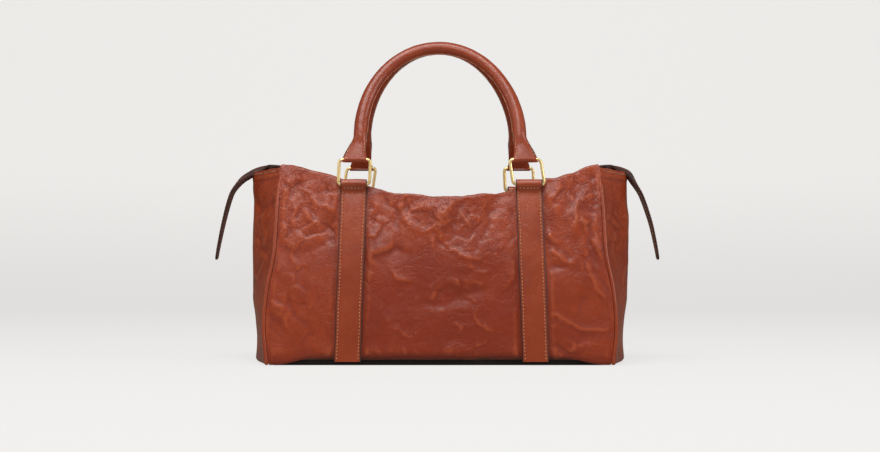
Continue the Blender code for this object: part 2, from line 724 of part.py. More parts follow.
def slider_and_puller(bag):
    """A saddle that straddles the teeth, its crown, and the puller whose bar passes through the crown."""
    inner_half = TEETH_HALF_WIDTH + GAP
    outer_half = inner_half + SLIDER_WALL
    foot = ZIP_HEIGHT - TAPE_DROP + TAPE / 2 + GAP
    ceiling = ZIP_HEIGHT - TAPE_DROP + TEETH_HEIGHT / 2 + GAP
    roof = ceiling + SLIDER_WALL
    axis = roof + CROWN_HEIGHT / 2
    pivot = add_pivot("zip_slider_pivot", (SLIDER_X, 0.0, ZIP_HEIGHT), bag)
    profile = [(-outer_half, foot), (-outer_half, roof), (outer_half, roof), (outer_half, foot)]
    profile += [(inner_half, foot), (inner_half, ceiling), (-inner_half, ceiling), (-inner_half, foot)]
    ends = (SLIDER_X - SLIDER_LENGTH / 2, SLIDER_X + SLIDER_LENGTH / 2)
    slider = loft("zip_slider", [[Vector((x, y, z)) for y, z in profile] for x in ends], BRASS_FINISH, pivot)
    sunk = roof - SLIDER_WALL / 2
    side_view = [(-CROWN_FOOT, sunk), (CROWN_FOOT, sunk), (CROWN_TOP, roof + CROWN_HEIGHT), (-CROWN_TOP, roof + CROWN_HEIGHT)]
    loops = [[Vector((SLIDER_X + x, y, z)) for x, z in side_view] for y in (-CROWN_HALF_WIDTH, CROWN_HALF_WIDTH)]
    crown = as_guide(loft("zip_slider_crown", loops, BRASS_FINISH, pivot))
    boolean(slider, "UNION", crown)
    centre = (SLIDER_X, 0.0, axis)
    half_length = CROWN_HALF_WIDTH + CUT_OVERRUN
    hole = hole_cutter("zip_slider_hole", centre, (0, 1, 0), CROWN_HOLE_RADIUS, half_length, pivot)
    boolean(slider, "DIFFERENCE", hole)

    swing = add_pivot("zip_puller_pivot", centre, pivot)
    root = SLIDER_X - PULLER_BAR / 2
    tip = SLIDER_X + PULLER_LENGTH
    top_view = [(root, -PULLER_HALF_WIDTH), (tip - PULLER_HALF_WIDTH, -PULLER_TIP_HALF_WIDTH)]
    top_view += [(tip, -PULLER_TIP_HALF_WIDTH / 2), (tip, PULLER_TIP_HALF_WIDTH / 2)]
    top_view += [(tip - PULLER_HALF_WIDTH, PULLER_TIP_HALF_WIDTH), (root, PULLER_HALF_WIDTH)]
    heights = (axis - PULLER_THICKNESS / 2, axis + PULLER_THICKNESS / 2)
    puller = loft("zip_puller", [[Vector((x, y, z)) for x, y in top_view] for z in heights], BRASS_FINISH, swing)
    window_start = SLIDER_X + PULLER_BAR / 2
    window_half = CROWN_HALF_WIDTH + GAP
    window_view = [(window_start, -window_half), (window_start + WINDOW_LENGTH, -window_half)]
    window_view += [(window_start + WINDOW_LENGTH, window_half), (window_start, window_half)]
    heights = (axis - PULLER_THICKNESS / 2 - CUT_OVERRUN, axis + PULLER_THICKNESS / 2 + CUT_OVERRUN)
    loops = [[Vector((x, y, z)) for x, y in window_view] for z in heights]
    window = as_guide(loft("zip_puller_window", loops, BRASS_FINISH, swing))
    boolean(puller, "DIFFERENCE", window)


# Zip ends over the gussets


def tail_hinge():
    return Vector((FOLD_X, gusset_top(0) + TAIL_HINGE_LIFT))


def tab_height(x):
    """Height of the middle of the tab that lies over the gusset: it crests before the hem."""
    hinge = tail_hinge()
    if x < TAB_CREST_X:
        share = (TAB_CREST_X - x) / (TAB_CREST_X - TAB_START_X)
        return hinge.y + TAB_CREST_LIFT - TAB_START_DROP * share**2
    share = (x - TAB_CREST_X) / (hinge.x - TAB_CREST_X)
    return hinge.y + TAB_CREST_LIFT * (1 - share**2)


def band(name, line, side, widths, thicknesses, pivot):
    """A flat leather band along a line of (x, z) points, with its own half width and thickness at each."""
    loops = []
    for i, point in enumerate(line):
        along = (line[min(i + 1, len(line) - 1)] - line[max(i - 1, 0)]).normalized()
        up = Vector((-along.y, along.x))
        half = thicknesses[i] / 2
        loop = []
        for across, lift in ((-1, -1), (1, -1), (1, 1), (-1, 1)):
            place = point + up * half * lift
            loop.append(Vector((side * place.x, across * widths[i], place.y)))
        loops.append(loop)
    loft(name, loops, TAIL_FINISH, pivot)


def tail_line(reach, drop, reach_shares, drop_shares):
    """A hanging tail's middle line as (x, z), with the half width and the thickness at each point."""
    hinge = tail_hinge()
    line = [hinge + Vector((-TAIL_THICKNESS / 2 * share, 0)) for share in TAIL_ROOT_SHARES]
    thicknesses = [TAIL_THICKNESS * math.sqrt(1 - share**2) for share in TAIL_ROOT_SHARES]
    widths = [TAIL_HALF_WIDTH] * len(line)
    for out, down in zip(reach_shares, drop_shares):
        line.append(hinge + Vector((reach * out, -drop * down)))
        widths.append(blend(TAIL_HALF_WIDTH, TAIL_TIP_HALF_WIDTH, down**2))
        thicknesses.append(blend(TAIL_THICKNESS, TAIL_TIP_THICKNESS, down))
    return line, widths, thicknesses


def zip_tails(bag):
    """A fixed tab from the zip's end to the hem, and the tail that hangs from it."""
    hinge = tail_hinge()
    tab_end = hinge.x - TAIL_THICKNESS / 2 - GAP
    tab = [Vector((x, tab_height(x))) for x in steps(TAB_START_X, tab_end, TAB_STEPS)]
    tails = {
        "left": tail_line(LEFT_TAIL_REACH, TAIL_DROP, LEFT_REACH_SHARES, LEFT_DROP_SHARES),
        "right": tail_line(RIGHT_TAIL_REACH, TAIL_DROP, RIGHT_REACH_SHARES, RIGHT_DROP_SHARES),
    }
    for side, name in ((-1, "left"), (1, "right")):
        band(name + "_zip_tab", tab, side, [TAIL_HALF_WIDTH] * len(tab), [TAIL_THICKNESS] * len(tab), bag)
        pivot = add_pivot(name + "_tail_pivot", (side * hinge.x, 0.0, hinge.y), bag)
        line, widths, thicknesses = tails[name]
        band(name + "_zip_tail", line, side, widths, thicknesses, pivot)


def main():
    for obj in list(bpy.data.objects):
        bpy.data.objects.remove(obj, do_unlink=True)
    bag = add_pivot("bag", (0.0, 0.0, 0.0))
    body_shell(bag)
    piping(bag)
    straps(bag)
    handles_and_rings(bag)
    zip_ends(bag)
    zip_flaps(bag)
    slider_and_puller(bag)
    zip_tails(bag)


main()
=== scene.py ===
# %% [markdown]
# # A crumpled leather satchel
#
# The imported CAD model gives the size and the joints of a soft leather satchel: two rolled top handles on
# rectangular rings, four stitched straps, folded side gussets, a recessed zip and two zip ends that hang outside.
# This lesson dresses that model piece by piece.

# %% Load the frame
import json
import math

import bpy
import numpy as np
from mathutils import Matrix, Vector, noise

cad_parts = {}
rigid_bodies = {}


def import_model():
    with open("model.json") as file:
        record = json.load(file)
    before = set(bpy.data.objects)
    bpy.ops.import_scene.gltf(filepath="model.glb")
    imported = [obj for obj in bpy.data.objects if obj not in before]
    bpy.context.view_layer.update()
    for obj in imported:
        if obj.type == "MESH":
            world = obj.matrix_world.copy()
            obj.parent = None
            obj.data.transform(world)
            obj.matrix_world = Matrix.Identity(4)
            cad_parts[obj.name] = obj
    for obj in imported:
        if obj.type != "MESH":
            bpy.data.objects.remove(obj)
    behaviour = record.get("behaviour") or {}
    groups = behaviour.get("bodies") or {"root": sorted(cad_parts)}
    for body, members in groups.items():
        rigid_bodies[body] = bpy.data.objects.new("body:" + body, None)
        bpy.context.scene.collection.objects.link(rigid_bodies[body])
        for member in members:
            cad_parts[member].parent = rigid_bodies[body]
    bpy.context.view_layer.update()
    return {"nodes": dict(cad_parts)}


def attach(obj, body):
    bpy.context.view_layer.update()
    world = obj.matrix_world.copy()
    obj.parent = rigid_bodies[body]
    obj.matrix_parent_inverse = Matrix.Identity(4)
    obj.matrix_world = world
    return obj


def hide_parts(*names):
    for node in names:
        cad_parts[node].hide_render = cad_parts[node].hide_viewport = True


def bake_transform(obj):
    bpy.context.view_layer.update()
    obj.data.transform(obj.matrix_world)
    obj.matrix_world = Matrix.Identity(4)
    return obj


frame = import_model()

# %% [markdown]
# ## The view
#
# A product is photographed from far enough away that its edges stay straight. The camera stands 1.5 m in front of
# the bag's middle, level, 104 mm above the floor. It isn't tilted to bring the handles in: the lens is shifted
# upwards, so that upright edges stay upright.

# %% Camera
bpy.ops.object.camera_add(location=(0.0, -1.5, 0.1042), rotation=(math.radians(90), 0, 0))
camera = bpy.context.object
camera.name = "camera"
camera.data.sensor_width = 36.0
camera.data.lens = 52.3
camera.data.shift_y = 0.0523
bpy.context.scene.camera = camera
bpy.context.scene.view_settings.view_transform = "Standard"
print("camera", camera.data.lens, "mm, shifted up by", camera.data.shift_y)

# %% [markdown]
# ## Shader maths as sums
#
# A material of nodes is a drawing of sums. Written as Python, such a sum is easier to read than a page of node
# calls. The first class below wraps one socket, and each operator on it adds the Math node that it stands for.
# Every other kind of node comes from one method, `node`, of the finish that it belongs to.


# %% A socket that can be summed
class Signal:
    """One output socket of a finish. Sums of it add the Math nodes that they need."""

    def __init__(self, finish, socket):
        self.finish = finish
        self.socket = socket

    def math(self, operation, first, second=0.0):
        return self.finish.node("ShaderNodeMath", {"operation": operation}, {0: first, 1: second})

    def __add__(self, other):
        return self.math("ADD", self, other)

    def __sub__(self, other):
        return self.math("SUBTRACT", self, other)

    def __rsub__(self, other):
        return self.math("SUBTRACT", other, self)

    def __mul__(self, other):
        return self.math("MULTIPLY", self, other)

    def __abs__(self):
        return self.math("ABSOLUTE", self)


# %% A finish: one material and its shader
class Finish:
    """A material whose nodes are added by name. Its constant values are set on the shader's own sockets."""

    def __init__(self, name, **constants):
        self.material = bpy.data.materials.new(name)
        self.material.use_nodes = True
        self.tree = self.material.node_tree
        self.shader = self.tree.nodes["Principled BSDF"]
        for socket, value in constants.items():
            self.shader.inputs[socket.replace("_", " ")].default_value = value
        self.place = self.node("ShaderNodeTexCoord", result="Object")

    def plug(self, value, socket):
        if isinstance(value, Signal):
            self.tree.links.new(value.socket, socket)
        else:
            socket.default_value = value

    def node(self, kind, settings=None, sockets=None, result=0):
        """Adds a node: its settings first, then the values and links of its sockets."""
        made = self.tree.nodes.new(kind)
        for key, value in (settings or {}).items():
            setattr(made, key, value)
        for key, value in (sockets or {}).items():
            self.plug(value, made.inputs[key])
        return Signal(self, made.outputs[result])

    def coordinate(self, axis):
        """One coordinate of the piece's own place, in metres."""
        return self.node("ShaderNodeSeparateXYZ", None, {"Vector": self.place}, axis)

    def feed(self, **values):
        for socket, value in values.items():
            self.plug(value, self.shader.inputs[socket.replace("_", " ")])


print("finishes are written as sums from here on")

# %% [markdown]
# ## Patterns that every leather shares
#
# Hide has structure at several sizes at once: cloudy dye over a few centimetres, creases over a few millimetres,
# and pores of under a millimetre. Each is a noise of its own scale, read at the piece's own place in metres, so
# that all the pieces show grain of the same real size.


# %% Pattern helpers
def cloud(place, millimetres, detail=2.0, roughness=0.5, distortion=0.0, result=0):
    """Soft noise from 0 to 1 whose blots are about that many millimetres across."""
    sockets = {"Vector": place, "Scale": 1000 / millimetres, "Detail": detail, "Roughness": roughness}
    sockets["Distortion"] = distortion
    return place.finish.node("ShaderNodeTexNoise", None, sockets, result)


def cells(place, millimetres, feature="F1"):
    """Distances to the middle, or to the edge, of cells about that wide."""
    sockets = {"Vector": place, "Scale": 1000 / millimetres}
    return place.finish.node("ShaderNodeTexVoronoi", {"feature": feature}, sockets, "Distance")


def waves(place, scale, direction, distortion):
    sockets = {"Vector": place, "Scale": scale, "Distortion": distortion}
    return place.finish.node("ShaderNodeTexWave", {"bands_direction": direction}, sockets, "Fac")


def between(signal, low, high):
    """0 below the low value, 1 above the high one, smooth between them."""
    sockets = {"Value": signal, "From Min": low, "From Max": high}
    return signal.finish.node("ShaderNodeMapRange", {"interpolation_type": "SMOOTHSTEP"}, sockets)


def winding(place, millimetres, breadth):
    """0 on winding lines, where a soft noise passes its middle value, and 1 away from them."""
    level = cloud(place, millimetres, detail=2.5, roughness=0.55, distortion=0.9)
    return between(abs(level - 0.5), 0.0, breadth)


def tint(share, first, second, way="MIX"):
    """One colour passing into another as the share goes from 0 to 1."""
    finish = next(value.finish for value in (share, first, second) if isinstance(value, Signal))
    colours = [c if isinstance(c, Signal) else (*c, 1.0) for c in (first, second)]
    settings = {"data_type": "RGBA", "blend_type": way}
    return finish.node("ShaderNodeMix", settings, {0: share, 6: colours[0], 7: colours[1]}, 2)


def shade(tone, *by):
    """A tone times one number, or times three."""
    return tuple(c * s for c, s in zip(tone, by * 3))


def relief(height, distance):
    """Feeds a height from 0 to 1 to the shader's normal, as a relief of that many metres."""
    finish = height.finish
    finish.feed(Normal=finish.node("ShaderNodeBump", None, {"Height": height, "Distance": distance}))


print("patterns: cloud, cells, waves, between, winding, tint, relief")

# %% [markdown]
# ## Crumpled and glazed hide
#
# The body is cut from a thin hide that was crumpled while wet, then glazed. Its dye gathers in clouds and rubs paler
# on the ridges of the folds, and the valleys are darkened with painted shade. The folds are modelled further down,
# and each point keeps how much it stands proud in an attribute named `crest`, so that the colour agrees with the
# shape.
# Finer creases are relief and are also darkened with painted shade, most on the upper part; the pores are relief
# only.
# Painted shade also darkens the bag's lower half, most in its middle, and more again at its foot.


# %% Leather finishes
def leather(name, tone, cloudiness, crease_depth, roughness, low_shade_share=0.0, foot_shade_share=0.0):
    """A dyed, glazed hide: its tone, how cloudy the dye is, how deep its fine creases are, how rough it is, and
    how much painted shade darkens the bag's lower half and its foot."""
    finish = Finish(name, Coat_Weight=0.20, Coat_Roughness=0.20, Specular_IOR_Level=0.32)
    place, height, off_middle = finish.place, finish.coordinate(2), abs(finish.coordinate(0))
    crest = finish.node("ShaderNodeAttribute", {"attribute_name": "crest"}, result="Fac")
    # deep is the darker dye of the clouds and also the colour of the painted shade; worn is the paler colour of
    # rubbed ridges.
    deep, worn = shade(tone, 0.60, 0.42, 0.30), shade(tone, 1.30, 1.75, 2.1)
    dye = cloud(place, 52, detail=5, roughness=0.6, distortion=0.5)
    streaks = cloud(place, 8, detail=4, roughness=0.62, distortion=0.8)
    colour = tint(between(dye + streaks * 0.35, 0.52, 0.92) * cloudiness, tone, deep)
    # Painted shade: the lower half is darker, most in the bag's middle, patchy with the dye clouds, and darker still
    # at the foot.
    middle = 1.60 - between(off_middle, 0.02, 0.14) * 0.75
    low = (1 - between(height, 0.095, 0.198)) * middle * low_shade_share
    low = low + (1 - between(height, 0.002, 0.020)) * foot_shade_share
    colour = tint(low * (dye * 0.8 + 0.6), colour, deep)
    # Painted shade: the foot goes nearly black, except near the corners.
    foot = (1 - between(height, 0.003, 0.019)) * (1 - between(off_middle, 0.125, 0.170))
    colour = tint(foot * foot_shade_share * 1.7, colour, shade(tone, 0.16, 0.13, 0.16))
    # Ridges rub paler with wear; the valleys of the folds are darkened with painted shade.
    colour = tint(between(crest, 0.1, 1.1) * 0.40, colour, worn)
    colour = tint(between(0 - crest, 0.1, 1.0) * 0.65, colour, deep)
    warped = tint(0.02, place, cloud(place, 30, result="Color"), "LINEAR_LIGHT")
    wrinkle = between(cells(warped, 12, "DISTANCE_TO_EDGE"), 0.0, 0.14)
    gathered = between(cloud(place, 30), 0.42, 0.66)
    crease = winding(warped, 26, 0.022) * winding(warped, 13, 0.030)
    upper = between(height, 0.085, 0.175) * 0.85 + 0.15
    # Painted shade along the fine creases, strongest on the upper part.
    colour = tint((1 - crease) * upper * (gathered * 0.5 + 0.25) * crease_depth, colour, deep)
    pores = between(cells(place, 1.3), 0.0, 0.5)
    folds = wrinkle * gathered * (crease_depth * 0.2) + crease * upper * (crease_depth * 0.42)
    relief(folds + pores * (0.015 + crease_depth * 0.06) + streaks * (crease_depth * 0.55), 0.0012)
    shine = streaks * 0.24 + (roughness - 0.12) + between(0 - crest, 0.1, 0.8) * 0.10
    finish.feed(Base_Color=colour, Roughness=shine)
    return finish.material


# The body's hide takes painted shade on its lower half and its foot, the smooth leather on its lower half.
hide = leather("crinkled_leather", (0.286, 0.0415, 0.0100), 0.85, 0.55, 0.37, 0.56, 0.45)
strap_hide = leather("smooth_leather", (0.276, 0.0455, 0.0125), 0.50, 0.24, 0.35, 0.34)
roll_hide = leather("rolled_leather", (0.246, 0.0405, 0.0125), 0.50, 0.18, 0.35)
tail_lining = leather("tail_lining", (0.150, 0.047, 0.030), 0.3, 0.15, 0.5)
print("leathers:", hide.name, strap_hide.name, roll_hide.name, tail_lining.name)

# %% [markdown]
# ## The other finishes
#
# The cut edges of the straps are painted dark, the thread is a waxed tan, and the rings are polished brass. The
# dark leather of the zip ends is smoother and nearly black-brown. Inside are a woven cloth, a grey-brown board,
# and the cotton cord of the rolled handles.


# %% Small finishes
def painted_edge(name, tone, roughness):
    """An even tone with faint streaks and a fine grain: edge paint, dark smooth leather, a painted highlight line and
    a base coloured as painted shade.
    """
    finish = Finish(name, Specular_IOR_Level=0.4)
    streaks = cloud(finish.place, 6, detail=3)
    finish.feed(Base_Color=tint(between(streaks, 0.35, 0.75), tone, shade(tone, 1.7)))
    finish.feed(Roughness=streaks * 0.2 + (roughness - 0.1))
    relief(cloud(finish.place, 1.2, detail=3), 0.0002)
    return finish.material


def waxed_thread(name, tone):
    """Twisted thread: fine slanted ridges across each stitch."""
    finish = Finish(name, Specular_IOR_Level=0.4)
    twist = waves(finish.place, 900.0, "DIAGONAL", 1.0)
    finish.feed(Base_Color=tint(twist, shade(tone, 0.6), tone), Roughness=twist * 0.1 + 0.5)
    relief(twist, 0.0002)
    return finish.material


def polished_brass(name, tone, roughness):
    """Plated metal under clear lacquer: fine hairline brushing, and faint smudges in the shine."""
    finish = Finish(name, Metallic=0.62)
    smudge = cloud(finish.place, 11, detail=3)
    hairline = cloud(finish.place, 0.7)
    finish.feed(Base_Color=tint(between(smudge, 0.3, 0.8), tone, shade(tone, 0.93, 0.82, 0.62)))
    finish.feed(Roughness=smudge * 0.08 + hairline * 0.03 + (roughness - 0.055))
    relief(hairline, 0.000008)
    return finish.material


edge_paint = painted_edge("edge_paint", (0.030, 0.0095, 0.0065), 0.42)
dark_hide = painted_edge("dark_leather", (0.050, 0.017, 0.011), 0.40)
# A pale pinkish line of painted highlight along the handles' inner edge, where light catches the leather's corner.
raw_edge = painted_edge("raw_edge", (0.40, 0.165, 0.105), 0.55)
# The base's leather is coloured nearly black, as painted shade for the shadow under the bag.
base_shadow_black = painted_edge("base_leather", (0.010, 0.0045, 0.0035), 0.6)
tan_thread = waxed_thread("tan_thread", (0.68, 0.35, 0.18))
brass = polished_brass("gold_metal", (0.98, 0.76, 0.36), 0.28)
print("small finishes:", edge_paint.name, dark_hide.name, tan_thread.name, brass.name)


# %% Cloth, board and cord
def woven(name, tone, millimetres, depth):
    """Plain weave: sets of threads that cross, each a wave, with a fleck of noise."""
    finish = Finish(name, Specular_IOR_Level=0.2)
    warp, weft, third = (waves(finish.place, 320 / millimetres, axis, 0.4) for axis in "XZY")
    threads = warp * weft + third * 0.3
    fleck = cloud(finish.place, 2.5, detail=3)
    colour = tint(threads * 0.6 + fleck * 0.4, shade(tone, 0.5), tone)
    finish.feed(Base_Color=colour, Roughness=fleck * 0.15 + 0.75)
    relief(threads, depth)
    return finish.material


def pulp_board(name, tone):
    """Pressed fibre board: flecked and slightly rough."""
    finish = Finish(name, Specular_IOR_Level=0.2)
    fibres = cloud(finish.place, 1.8, detail=6, roughness=0.7, distortion=1.5)
    colour = tint(between(fibres, 0.3, 0.7), shade(tone, 0.55), tone)
    finish.feed(Base_Color=colour, Roughness=fibres * 0.2 + 0.75)
    relief(fibres, 0.0004)
    return finish.material


lining_cloth = woven("lining_cloth", (0.135, 0.080, 0.052), 1.0, 0.0002)
tape_cloth = woven("zip_tape", (0.075, 0.032, 0.020), 0.7, 0.00015)
cotton_cord = woven("cotton_cord", (0.62, 0.54, 0.42), 1.2, 0.0004)
board = pulp_board("stiffener_board", (0.16, 0.125, 0.09))
print("inner finishes:", lining_cloth.name, tape_cloth.name, cotton_cord.name, board.name)

# %% [markdown]
# ## The floor and the light
#
# A pale sweep of paper stands under and behind the bag, and a large softbox hangs over it, slightly in front. Most
# of the paper's even pale tone is given to camera rays alone. The rest is real light, so the bag's soft shadow
# stays. Glossy rays see the paper dim, as if dark cards stood just outside the picture: a glazed hide would else
# mirror the white paper and turn grey at its sides.


# %% Floor and backdrop
def studio_paper():
    finish = Finish("studio_paper", Roughness=0.9, Specular_IOR_Level=0.1)
    fibre = cloud(finish.place, 30, detail=3)
    finish.feed(Base_Color=tint(fibre, (0.64, 0.64, 0.63), (0.67, 0.67, 0.66)))
    seen, shine = (finish.node("ShaderNodeLightPath", result=f"Is {kind} Ray") for kind in ("Camera", "Glossy"))
    tone = tint(between(finish.coordinate(2), 0.0, 0.5), (0.885, 0.87, 0.855), (0.99, 0.975, 0.955))
    glow = finish.node("ShaderNodeEmission", None, {"Color": tone})
    dim = finish.node("ShaderNodeEmission", None, {"Color": (0.17, 0.13, 0.095, 1.0)})
    lit = Signal(finish, finish.shader.outputs[0])
    mixed = finish.node("ShaderNodeMixShader", None, {0: seen * 0.8, 1: lit, 2: glow})
    mixed = finish.node("ShaderNodeMixShader", None, {0: shine * 0.85, 1: mixed, 2: dim})
    finish.plug(mixed, finish.tree.nodes["Material Output"].inputs["Surface"])
    return finish.material


PAPER_WIDTH, PAPER_LENGTH, PAPER_FRONT, BEND_START, BEND_RADIUS = 9.0, 8.0, 3.0, 2.2, 1.2
bpy.ops.mesh.primitive_grid_add(x_subdivisions=1, y_subdivisions=60, size=1.0)
paper = bpy.context.object
paper.name = "paper_sweep"
for vertex in paper.data.vertices:
    run = (vertex.co.y + 0.5) * PAPER_LENGTH - PAPER_FRONT
    angle = min(max((run - BEND_START) / BEND_RADIUS, 0.0), math.pi / 2)
    behind = min(run, BEND_START) + BEND_RADIUS * math.sin(angle)
    upright = max(run - BEND_START - BEND_RADIUS * math.pi / 2, 0.0)
    vertex.co = Vector((vertex.co.x * PAPER_WIDTH, behind, BEND_RADIUS * (1 - math.cos(angle)) + upright))
paper.data.materials.append(studio_paper())
bpy.ops.object.shade_smooth()
print("paper sweep", [round(side, 2) for side in paper.dimensions], "m")


# %% Lights
def softbox(name, place, aim_height, width, height, watts):
    """A rectangular lamp that faces the bag's middle line at a height."""
    turn = (Vector((0.0, 0.0, aim_height)) - Vector(place)).to_track_quat("-Z", "Y")
    bpy.ops.object.light_add(type="AREA", location=place, rotation=turn.to_euler())
    lamp = bpy.context.object
    lamp.name = name
    lamp.data.shape = "RECTANGLE"
    lamp.data.size = width
    lamp.data.size_y = height
    lamp.data.energy = watts


softbox("overhead_softbox", (-0.2, -0.72, 1.75), 0.20, 1.4, 0.8, 30.0)
softbox("front_strip", (-0.2, -2.0, 1.45), 0.18, 1.3, 0.3, 13.0)
softbox("left_fill", (-1.9, -0.8, 0.9), 0.15, 1.2, 1.0, 7.0)
softbox("right_fill", (1.9, -0.8, 0.9), 0.15, 1.2, 1.0, 18.0)

world = bpy.data.worlds.new("studio_air")
bpy.context.scene.world = world
world.use_nodes = True
air = world.node_tree.nodes["Background"].inputs
air["Color"].default_value = (1.0, 0.96, 0.90, 1.0)
air["Strength"].default_value = 0.16
print("lamps:", [light.name for light in bpy.data.lights])

# %% [markdown]
# ## The bag's shape in numbers
#
# The finished pieces lie where the CAD pieces lie, so the same few curves are needed again: how deep the bag is at
# each height, where its corner seams run, how far the side gussets fold out, and how its top edge dips in the
# middle. A pattern cutter keeps such curves as paper patterns.

# %% Shape curves, in metres
BODY_HEIGHT, BASE_HALF_DEPTH, TOP_HALF_DEPTH = 0.2262, 0.080, 0.050
SEAM_TOP_X, FOLD_X, FOLD_ROUND = 0.180, 0.219, 0.15
MIDDLE_DIP, HEM_DROP, FOLD_DIP = 0.037, 0.0035, 0.0018
LEATHER, WELT, FOOT, GAP, SEAM_GAP = 0.0022, 0.0022, 0.0008, 0.0003, 0.0004
SEAM_CURVE = ((0.0, 1.069), (0.18, 1.092), (0.36, 1.078), (0.55, 1.036), (0.78, 1.022), (1.0, 1.0))
FOLD_CURVE = ((0.0, 0.986), (0.12, 0.978), (0.22, 0.985), (0.34, 1.0), (1.0, 1.0))


def mix(start, end, share):
    return start + (end - start) * share


def ease(share):
    share = min(max(share, 0.0), 1.0)
    return share * share * (3 - 2 * share)


def curve_through(share, knots):
    """A smooth curve through knots of (place, value)."""
    places, values = zip(*knots)
    last = len(knots) - 1
    slopes = []
    for i in range(last + 1):
        before, after = max(i - 1, 0), min(i + 1, last)
        slopes.append((values[after] - values[before]) / (places[after] - places[before]))
    share = min(max(share, places[0]), places[last])
    i = max(k for k in range(last) if places[k] <= share)
    run = places[i + 1] - places[i]
    t = (share - places[i]) / run
    level = mix(values[i], values[i + 1], ease(t))
    return level + run * t * (1 - t) * (slopes[i] * (1 - t) - slopes[i + 1] * t)


def depth_at(z):
    share = min(max(z / BODY_HEIGHT, 0.0), 1.0)
    return BASE_HALF_DEPTH - (BASE_HALF_DEPTH - TOP_HALF_DEPTH) * share**1.5


def seam_x(z):
    return SEAM_TOP_X * curve_through(z / BODY_HEIGHT, SEAM_CURVE)


def fold_x(z):
    return FOLD_X * curve_through(z / BODY_HEIGHT, FOLD_CURVE)


def panel_top(across):
    return BODY_HEIGHT - MIDDLE_DIP * (1 - abs(across) ** 1.4)


def gusset_top(across):
    return BODY_HEIGHT - HEM_DROP - FOLD_DIP * (1 - across**2)


def foot_inset(z, radius):
    """How far a rounded foot of that radius draws in, just above the floor."""
    low = min(max((radius - z) / radius, 0.0), 1.0)
    return radius * (1 - math.sqrt(1 - low * low))


def gusset_point(across, z):
    """A point of the right gusset's outer face, for a share across it from -1 at the front to 1 at the back."""
    corner = Vector((seam_x(z), depth_at(z) - LEATHER / 2))
    along = (Vector((fold_x(z), 0.0)) - corner).normalized()
    start = corner + along * (WELT + SEAM_GAP) + Vector((-along.y, along.x)) * LEATHER / 2
    sharp = math.sqrt(1 + FOLD_ROUND**2) - FOLD_ROUND
    inward = (math.sqrt(across**2 + FOLD_ROUND**2) - FOLD_ROUND) / sharp
    return Vector((mix(fold_x(z), start.x, inward), start.y * across, z))


foot_width, top_width = round(2000 * seam_x(0.0)), round(2000 * seam_x(BODY_HEIGHT))
print("the front panel is", foot_width, "mm wide at its foot and", top_width, "mm at its top")

# %% [markdown]
# ## Laying a grid on a curve
#
# Leather panels are flat when cut and curved when sewn. A grid primitive is the flat piece, and a small helper
# lays each of its points on the surface that a rule gives. The welts, handles and zip ends are such a grid too,
# rolled up round a list of loops, with its two edges merged.


# %% Helpers for modelling
def deselect():
    """Leaves nothing selected: an operator acts on all that is."""
    if bpy.context.object and bpy.context.object.mode != "OBJECT":
        bpy.ops.object.mode_set(mode="OBJECT")
    bpy.ops.object.select_all(action="DESELECT")


def take(piece):
    deselect()
    piece.select_set(True)
    bpy.context.view_layer.objects.active = piece


def edit(piece, *steps):
    """Runs edit-mode steps on all of the piece."""
    take(piece)
    bpy.ops.object.mode_set(mode="EDIT")
    bpy.ops.mesh.select_all(action="SELECT")
    for step in steps:
        step()
    bpy.ops.object.mode_set(mode="OBJECT")
    return piece


def weld():
    bpy.ops.mesh.remove_doubles(threshold=0.00002)


def outwards():
    bpy.ops.mesh.normals_make_consistent(inside=False)


def close_ends():
    bpy.ops.mesh.select_all(action="DESELECT")
    bpy.ops.mesh.select_mode(type="EDGE")
    only_open = dict(use_wire=False, use_multi_face=False, use_non_contiguous=False)
    bpy.ops.mesh.select_non_manifold(extend=False, **only_open)
    bpy.ops.mesh.edge_face_add()
    bpy.ops.mesh.select_all(action="SELECT")


def lay(name, columns, rows, surface):
    """A grid primitive laid on a surface: a rule from two shares, 0 to 1, to a place."""
    deselect()
    bpy.ops.mesh.primitive_grid_add(x_subdivisions=columns, y_subdivisions=rows, size=1.0)
    piece = bpy.context.object
    piece.name = piece.data.name = name
    for vertex in piece.data.vertices:
        vertex.co = surface(vertex.co.x + 0.5, vertex.co.y + 0.5)
    piece.data.update()
    return piece


def rolled(name, loops):
    """A grid rolled up round a list of loops, closed at both ends."""
    columns, rows = len(loops[0]), len(loops) - 1
    piece = lay(name, columns, rows, lambda u, v: loops[round(v * rows)][round(u * columns) % columns])
    return edit(piece, weld, close_ends, outwards)


def apply(piece, kind, **settings):
    """Adds a modifier with its settings and applies it."""
    take(piece)
    modifier = piece.modifiers.new(kind.title(), kind)
    for key, value in settings.items():
        setattr(modifier, key, value)
    bpy.ops.object.modifier_apply(modifier=modifier.name)


def smooth(piece, degrees):
    take(piece)
    bpy.ops.object.shade_smooth_by_angle(angle=math.radians(degrees))
    return piece


def paint(piece, *materials):
    for material in materials:
        piece.data.materials.append(material)


def dress(piece, body, slot, *materials, nodes=None):
    """Gives a finished piece its materials and its body, and hides the CAD nodes that it stands for: where none
    are given, the one that its name ends in. The slot is not used."""
    paint(piece, *materials)
    if body:
        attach(piece, body)
    if nodes is None:
        nodes = [piece.name.split("_", 1)[1]]
    if nodes:
        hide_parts(*nodes)
    return piece


def rough(*place):
    """Soft noise at a place, about -1 to 1."""
    return noise.noise(Vector(place))


# The back of the bag is its front, turned half round.
HALF_TURN = {False: Matrix.Identity(4), True: Matrix.Rotation(math.pi, 4, "Z")}
FRONT_BACK, LEFT_RIGHT = ((-1, "front"), (1, "back")), ((-1, "left"), (1, "right"))
CORNERS = [(x, y, sidewise, depthwise) for y, depthwise in FRONT_BACK for x, sidewise in LEFT_RIGHT]
print("helpers: deselect, take, edit, lay, rolled, apply, smooth, dress, for", len(CORNERS), "corners")

